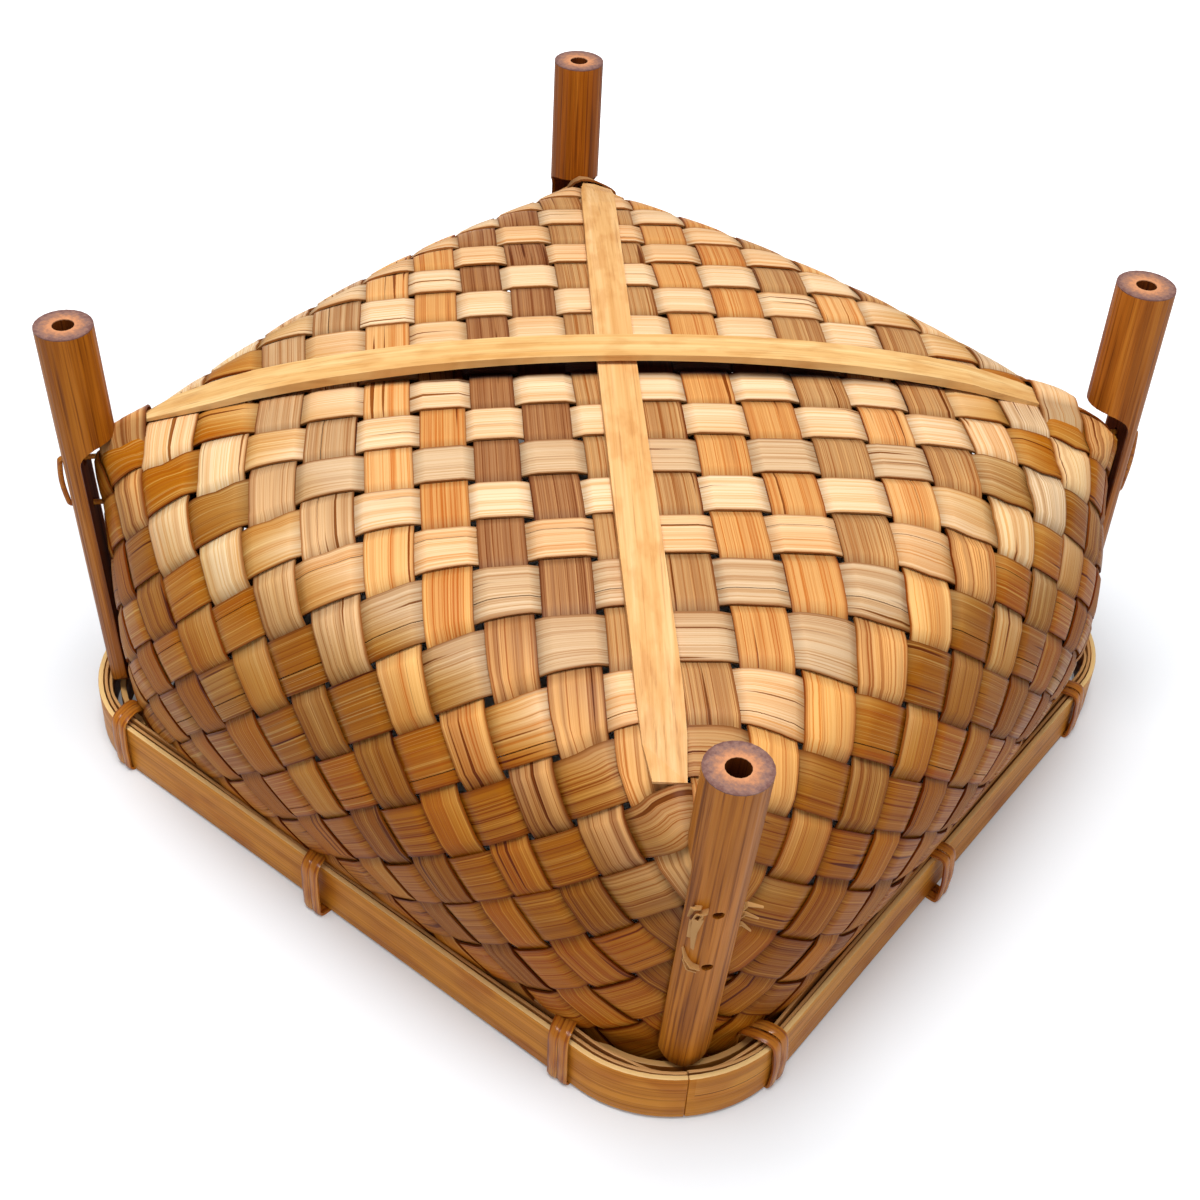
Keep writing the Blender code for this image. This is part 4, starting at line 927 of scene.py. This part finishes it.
def leg_matrix(corner):
    """A leg's own axes and its culm's radius: origin at the middle of its top end, +Z up the culm."""
    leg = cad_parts[f"leg_{corner}"].data
    points = np.array([v.co for v in leg.vertices])
    up = culm_direction(leg).normalized()
    ring = points[points[:, 2] > points[:, 2].max() - 1e-5]
    ring = ring[np.linalg.norm(ring - ring.mean(0), axis=1) > HOLLOW_REACH]
    centre = Vector((ring.max(0) + ring.min(0)) / 2)
    out = Vector((centre.x, centre.y, 0)).normalized()
    face = (out - up * out.dot(up)).normalized()
    matrix = Matrix((face, up.cross(face), up)).transposed().to_4x4()
    matrix.translation = centre
    local = np.array([matrix.inverted() @ Vector(v) for v in ring])
    return matrix, float(np.linalg.norm(local[:, :2], axis=1).max())


def dress(node, mat):
    """Give one of the CAD's pieces its finish."""
    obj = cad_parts[node]
    obj.data.materials.clear()
    obj.data.materials.append(mat)


tie_cane = split_cane("split_rattan_cane", False)
for corner, skin in SKINS.items():
    dress(f"leg_{corner}", culm_bamboo(f"bamboo_culm_{corner}", *leg_matrix(corner), skin))
    dress(f"leg_tie_{corner}", tie_cane)


# The slats
SLAT_THINNED, SLAT_TIP = 0.055, 0.28    # the last run that is planed thin, and its tip's share of full
PRESSED, PRESSED_FADE = 0.05, 0.03      # the last run that is pressed down on to the mat, and its fade
HOLLOWED = 0.10             # each way from the middle, the run that is planed hollow below
SLAT_FACES = (0.002, 0.0055)            # a slat's point and its partner on the other face lie this far
FACES_DROP = 0.0016                     # apart, and at least so much in height
MAT_NEAR = 0.0016           # a mat point this near in plan lies under the slat's point


def mat_heights(half, count):
    """Points of the mat's middle over the whole base."""
    line = np.linspace(-half, half, count)
    x, y = (v.ravel() for v in np.meshgrid(line, line))
    return mat_points(x, y, np.zeros(x.size, dtype=int))[0]


def worn_slat(node, mat, way, shorter, hollow=0.0):
    """The CAD's slat with worn arrises, planed thin towards the ends that strips hold down. `shorter` is
    what its end at the front or right lacks, and `hollow` the share planed off below its middle."""
    piece = copied(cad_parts[node], f"worn_{node}")
    points = np.array([v.co for v in piece.data.vertices])
    along = points[:, :2] @ np.array(way) / ROOT2
    ends = np.minimum(along.max() - along, along - along.min())
    mat_there = mat_heights(0.166, 280)
    moved = points.copy()
    for n, point in enumerate(points):
        gap = np.linalg.norm(points - point, axis=1)
        facing_it = (gap > SLAT_FACES[0]) & (gap < SLAT_FACES[1])
        facing_it &= np.abs(points[:, 2] - point[2]) > FACES_DROP
        if not facing_it.any():
            continue
        other = points[facing_it][gap[facing_it].argmin()]
        if other[2] < point[2]:
            share = SLAT_TIP + (1 - SLAT_TIP) * min(ends[n] / SLAT_THINNED, 1.0)
            moved[n] = other + (point - other) * share
        else:
            moved[n] = point + (other - point) * hollow * max(1 - abs(along[n]) / HOLLOWED, 0)
        lower = min(other, point, key=lambda v: v[2])
        near_it = np.hypot(*(mat_there[:, :2] - lower[:2]).T) < MAT_NEAR
        if near_it.any() and ends[n] < PRESSED:
            press = mat_there[near_it][:, 2].max() + MAT_THICK / 2 - lower[2]
            moved[n, 2] += press * min((PRESSED - ends[n]) / PRESSED_FADE, 1.0)
    last = along.max()
    tip = points[along > last - 0.012].mean(0)
    inwards = points[np.abs(along - last + 0.030) < 0.010].mean(0) - tip
    near = part_way(along, last - 0.05, last)
    moved += near[:, None] * shorter * inwards / np.linalg.norm(inwards)
    piece.data.vertices.foreach_set("co", moved.ravel())
    wear_edges(piece, 0.0006, 50)
    finish_piece(piece, mat, node)


slat_long = planed_bamboo("planed_bamboo_front_back", (0.938, -1.062), ("dca464", "e8b678", "f0c48c"))
slat_wide = planed_bamboo("planed_bamboo_left_right", (1.033, 0.967), ("dca864", "e8bc7c", "f0cc90"))
worn_slat("slat_front_back", slat_long, (1, -1), 0.0055)
worn_slat("slat_left_right", slat_wide, (1, 1), 0.011, 0.35)


# Torn fibres at the front leg's tie holes
FRONT, CULM = leg_matrix("front")
FIBRE_STEPS, FIBRE_THICK = 12, 0.0005
# Each one's width, then (distance over the culm's skin, angle from its outer side, height from its top)
# along it, in mm and degrees
FIBRES = (
    (5.0, (0.1, -19, -64.5), (0.8, -30, -67), (0.9, -39, -74), (0.1, -43, -86)),
    (5.0, (0.2, -24, -66.5), (1.1, -31, -71), (0.8, -34, -80), (0.1, -32, -92)),
    (3.6, (0.1, -30, -64), (0.9, -42, -66), (0.3, -50, -74)),
    (4.4, (0.1, -15, -101.5), (0.9, -27, -101), (0.7, -39, -98.5), (0.1, -49, -94)),
    (3.4, (0.1, -18, -104), (0.8, -32, -104), (0.1, -45, -101)),
    (3.0, (-0.8, 80, -81), (1.4, 83, -79), (7.0, 82, -80)),
    (2.6, (-0.8, 80, -86), (1.2, 83, -85), (6.2, 82, -87.5)),
    (2.4, (-0.8, 80, -91), (1.0, 83, -92), (4.6, 82, -96)))


def on_culm(over, angle, height):
    """A point by the front culm's skin, from a line of FIBRES."""
    reach, turn = CULM + over / 1000, math.radians(angle)
    return FRONT @ Vector((reach * math.cos(turn), reach * math.sin(turn), height / 1000))


def fibre_end(name, keys, width, mat):
    """A sliver of torn bamboo, flat and narrowing to its free end, along straight runs between keys."""
    obj = fresh(bpy.ops.mesh.primitive_grid_add, name, x_subdivisions=FIBRE_STEPS, y_subdivisions=2, size=1)
    for vert in obj.data.vertices:
        share = vert.co.x + 0.5
        run = share * (len(keys) - 1)
        k = min(int(run), len(keys) - 2)
        ahead = keys[k + 1] - keys[k]
        flat_side = ahead.cross(keys[k] - FRONT.translation).cross(ahead).cross(ahead).normalized()
        vert.co = keys[k].lerp(keys[k + 1], run - k) + flat_side * vert.co.y * width * (1 - 0.75 * share)
    thicken(obj, FIBRE_THICK)
    finish_piece(obj, mat, "leg_tie_front")


# Torn bamboo: bare straw-coloured fibres, dull all over
torn, _, torn_shader = new_material("torn_bamboo_fibre", 0.6)
torn_shader.inputs["Base Color"].default_value = colour("cc985c")
for number, (width, *keys) in enumerate(FIBRES, 1):
    fibre_end(f"torn_fibre_{number}", [on_culm(*key) for key in keys], width / 1000, torn)


# The camera, at the photograph's angle: its place and the way it faces are along the basket's diagonals
CAMERA_PLACE, CAMERA_FACING = (0.61769, -0.10676, 0.59143), (-0.7764, 0.1225, -0.6182)
CAMERA_ROLL = math.radians(3.67)
IMAGE = 1200                # the photograph's width and height in pixels
FOCUS, CENTRE_ROW = 1749.55, 528.05     # in those pixels: focal length, and where the lens's axis meets
SENSOR = 36.0               # mm

facing = from_diagonals(*CAMERA_FACING).normalized()
level = facing.cross(Vector((0, 0, 1))).normalized()
upward = level.cross(facing)
right = level * math.cos(CAMERA_ROLL) + upward * math.sin(CAMERA_ROLL)
up = upward * math.cos(CAMERA_ROLL) - level * math.sin(CAMERA_ROLL)
camera = bpy.data.objects.new("camera", bpy.data.cameras.new("camera"))
camera.matrix_world = Matrix.Translation(from_diagonals(*CAMERA_PLACE)) @ Matrix(
    (right, up, -facing)).transposed().to_4x4()
camera.data.sensor_width = SENSOR
camera.data.lens = FOCUS / IMAGE * SENSOR
camera.data.shift_y = -(IMAGE / 2 - CENTRE_ROW) / IMAGE
camera.data.clip_start, camera.data.clip_end = 0.01, 50.0
bpy.context.scene.collection.objects.link(camera)
bpy.context.scene.camera = camera


# The floor: matt white paper. Away from the basket it glows for the camera alone, so the shade fades
# out to white; the rounded square under the basket keeps its own shade.
UNDER_BASKET = 0.178        # half the side of that square
SHADE_FROM, SHADE_TO = 0.26, 0.60       # from the middle, where the shade begins to fade and ends


def paper_sweep():
    mat, tree, shader = new_material("white_paper_sweep", 0.9, 0.1)
    shader.inputs["Base Color"].default_value = colour("e4e7eb")
    shader.inputs["Emission Color"].default_value = colour("ffffff")
    place = add(tree, "ShaderNodeTexCoord").outputs["Object"]
    where = add(tree, "ShaderNodeSeparateXYZ", {0: place})
    far_x, far_y = (add(tree, "ShaderNodeMath", {0: where.outputs[n], 1: 4.0}, operation="POWER").outputs[0]
                    for n in (0, 1))
    far = add(tree, "ShaderNodeMath", {0: far_x, 1: far_y}, operation="ADD")
    outside = add(tree, "ShaderNodeMath", {0: far.outputs[0], 1: UNDER_BASKET ** 4},
                  operation="GREATER_THAN")
    seen = add(tree, "ShaderNodeLightPath").outputs["Is Camera Ray"]
    shown = add(tree, "ShaderNodeMath", {0: seen, 1: outside.outputs[0]}, operation="MULTIPLY")
    away = add(tree, "ShaderNodeVectorMath", {0: place}, operation="LENGTH")
    paler = add(tree, "ShaderNodeMapRange", {"Value": away.outputs["Value"], "From Min": SHADE_FROM,
                                             "From Max": SHADE_TO, "To Min": 0.13, "To Max": 0.9})
    glow = add(tree, "ShaderNodeMath", {0: shown.outputs[0], 1: paler.outputs[0]}, operation="MULTIPLY")
    tree.links.new(glow.outputs[0], shader.inputs["Emission Strength"])
    return mat


floor = fresh(bpy.ops.mesh.primitive_plane_add, "floor", size=12, location=(0, 0, 0))
floor.data.materials.append(paper_sweep())


# The light: a soft white sky that the camera sees as plain white, and two lamps
world = bpy.data.worlds.new("studio")
bpy.context.scene.world = world
world.use_nodes = True
sky = world.node_tree
sky.nodes.clear()
ray = add(sky, "ShaderNodeLightPath")
straight = add(sky, "ShaderNodeMath", {0: ray.outputs["Is Camera Ray"],
                                       1: ray.outputs["Is Transmission Ray"]}, operation="MAXIMUM")
soft = add(sky, "ShaderNodeBackground", {"Color": colour("ffffff"), "Strength": 0.28})
white = add(sky, "ShaderNodeBackground", {"Color": colour("ffffff"), "Strength": 1.0})
mixed = add(sky, "ShaderNodeMixShader", {0: straight.outputs[0], 1: soft.outputs[0], 2: white.outputs[0]})
add(sky, "ShaderNodeOutputWorld", {"Surface": mixed.outputs[0]})


def area_light(name, place, size, power):
    """A round lamp at a place in the basket's diagonals, aimed at the basket's middle."""
    data = bpy.data.lights.new(name, "AREA")
    data.shape, data.size, data.energy = "DISK", size, power
    lamp = bpy.data.objects.new(name, data)
    lamp.location = from_diagonals(*place)
    lamp.rotation_euler = (Vector((0, 0, 0.1)) - lamp.location).to_track_quat("-Z", "Y").to_euler()
    bpy.context.scene.collection.objects.link(lamp)


area_light("key_overhead", (0.2, -0.15, 1.75), 1.0, 29.5)
area_light("fill_front", (1.6, 0.3, 1.0), 1.4, 3.5)
bpy.context.scene.view_settings.view_transform = "Standard"
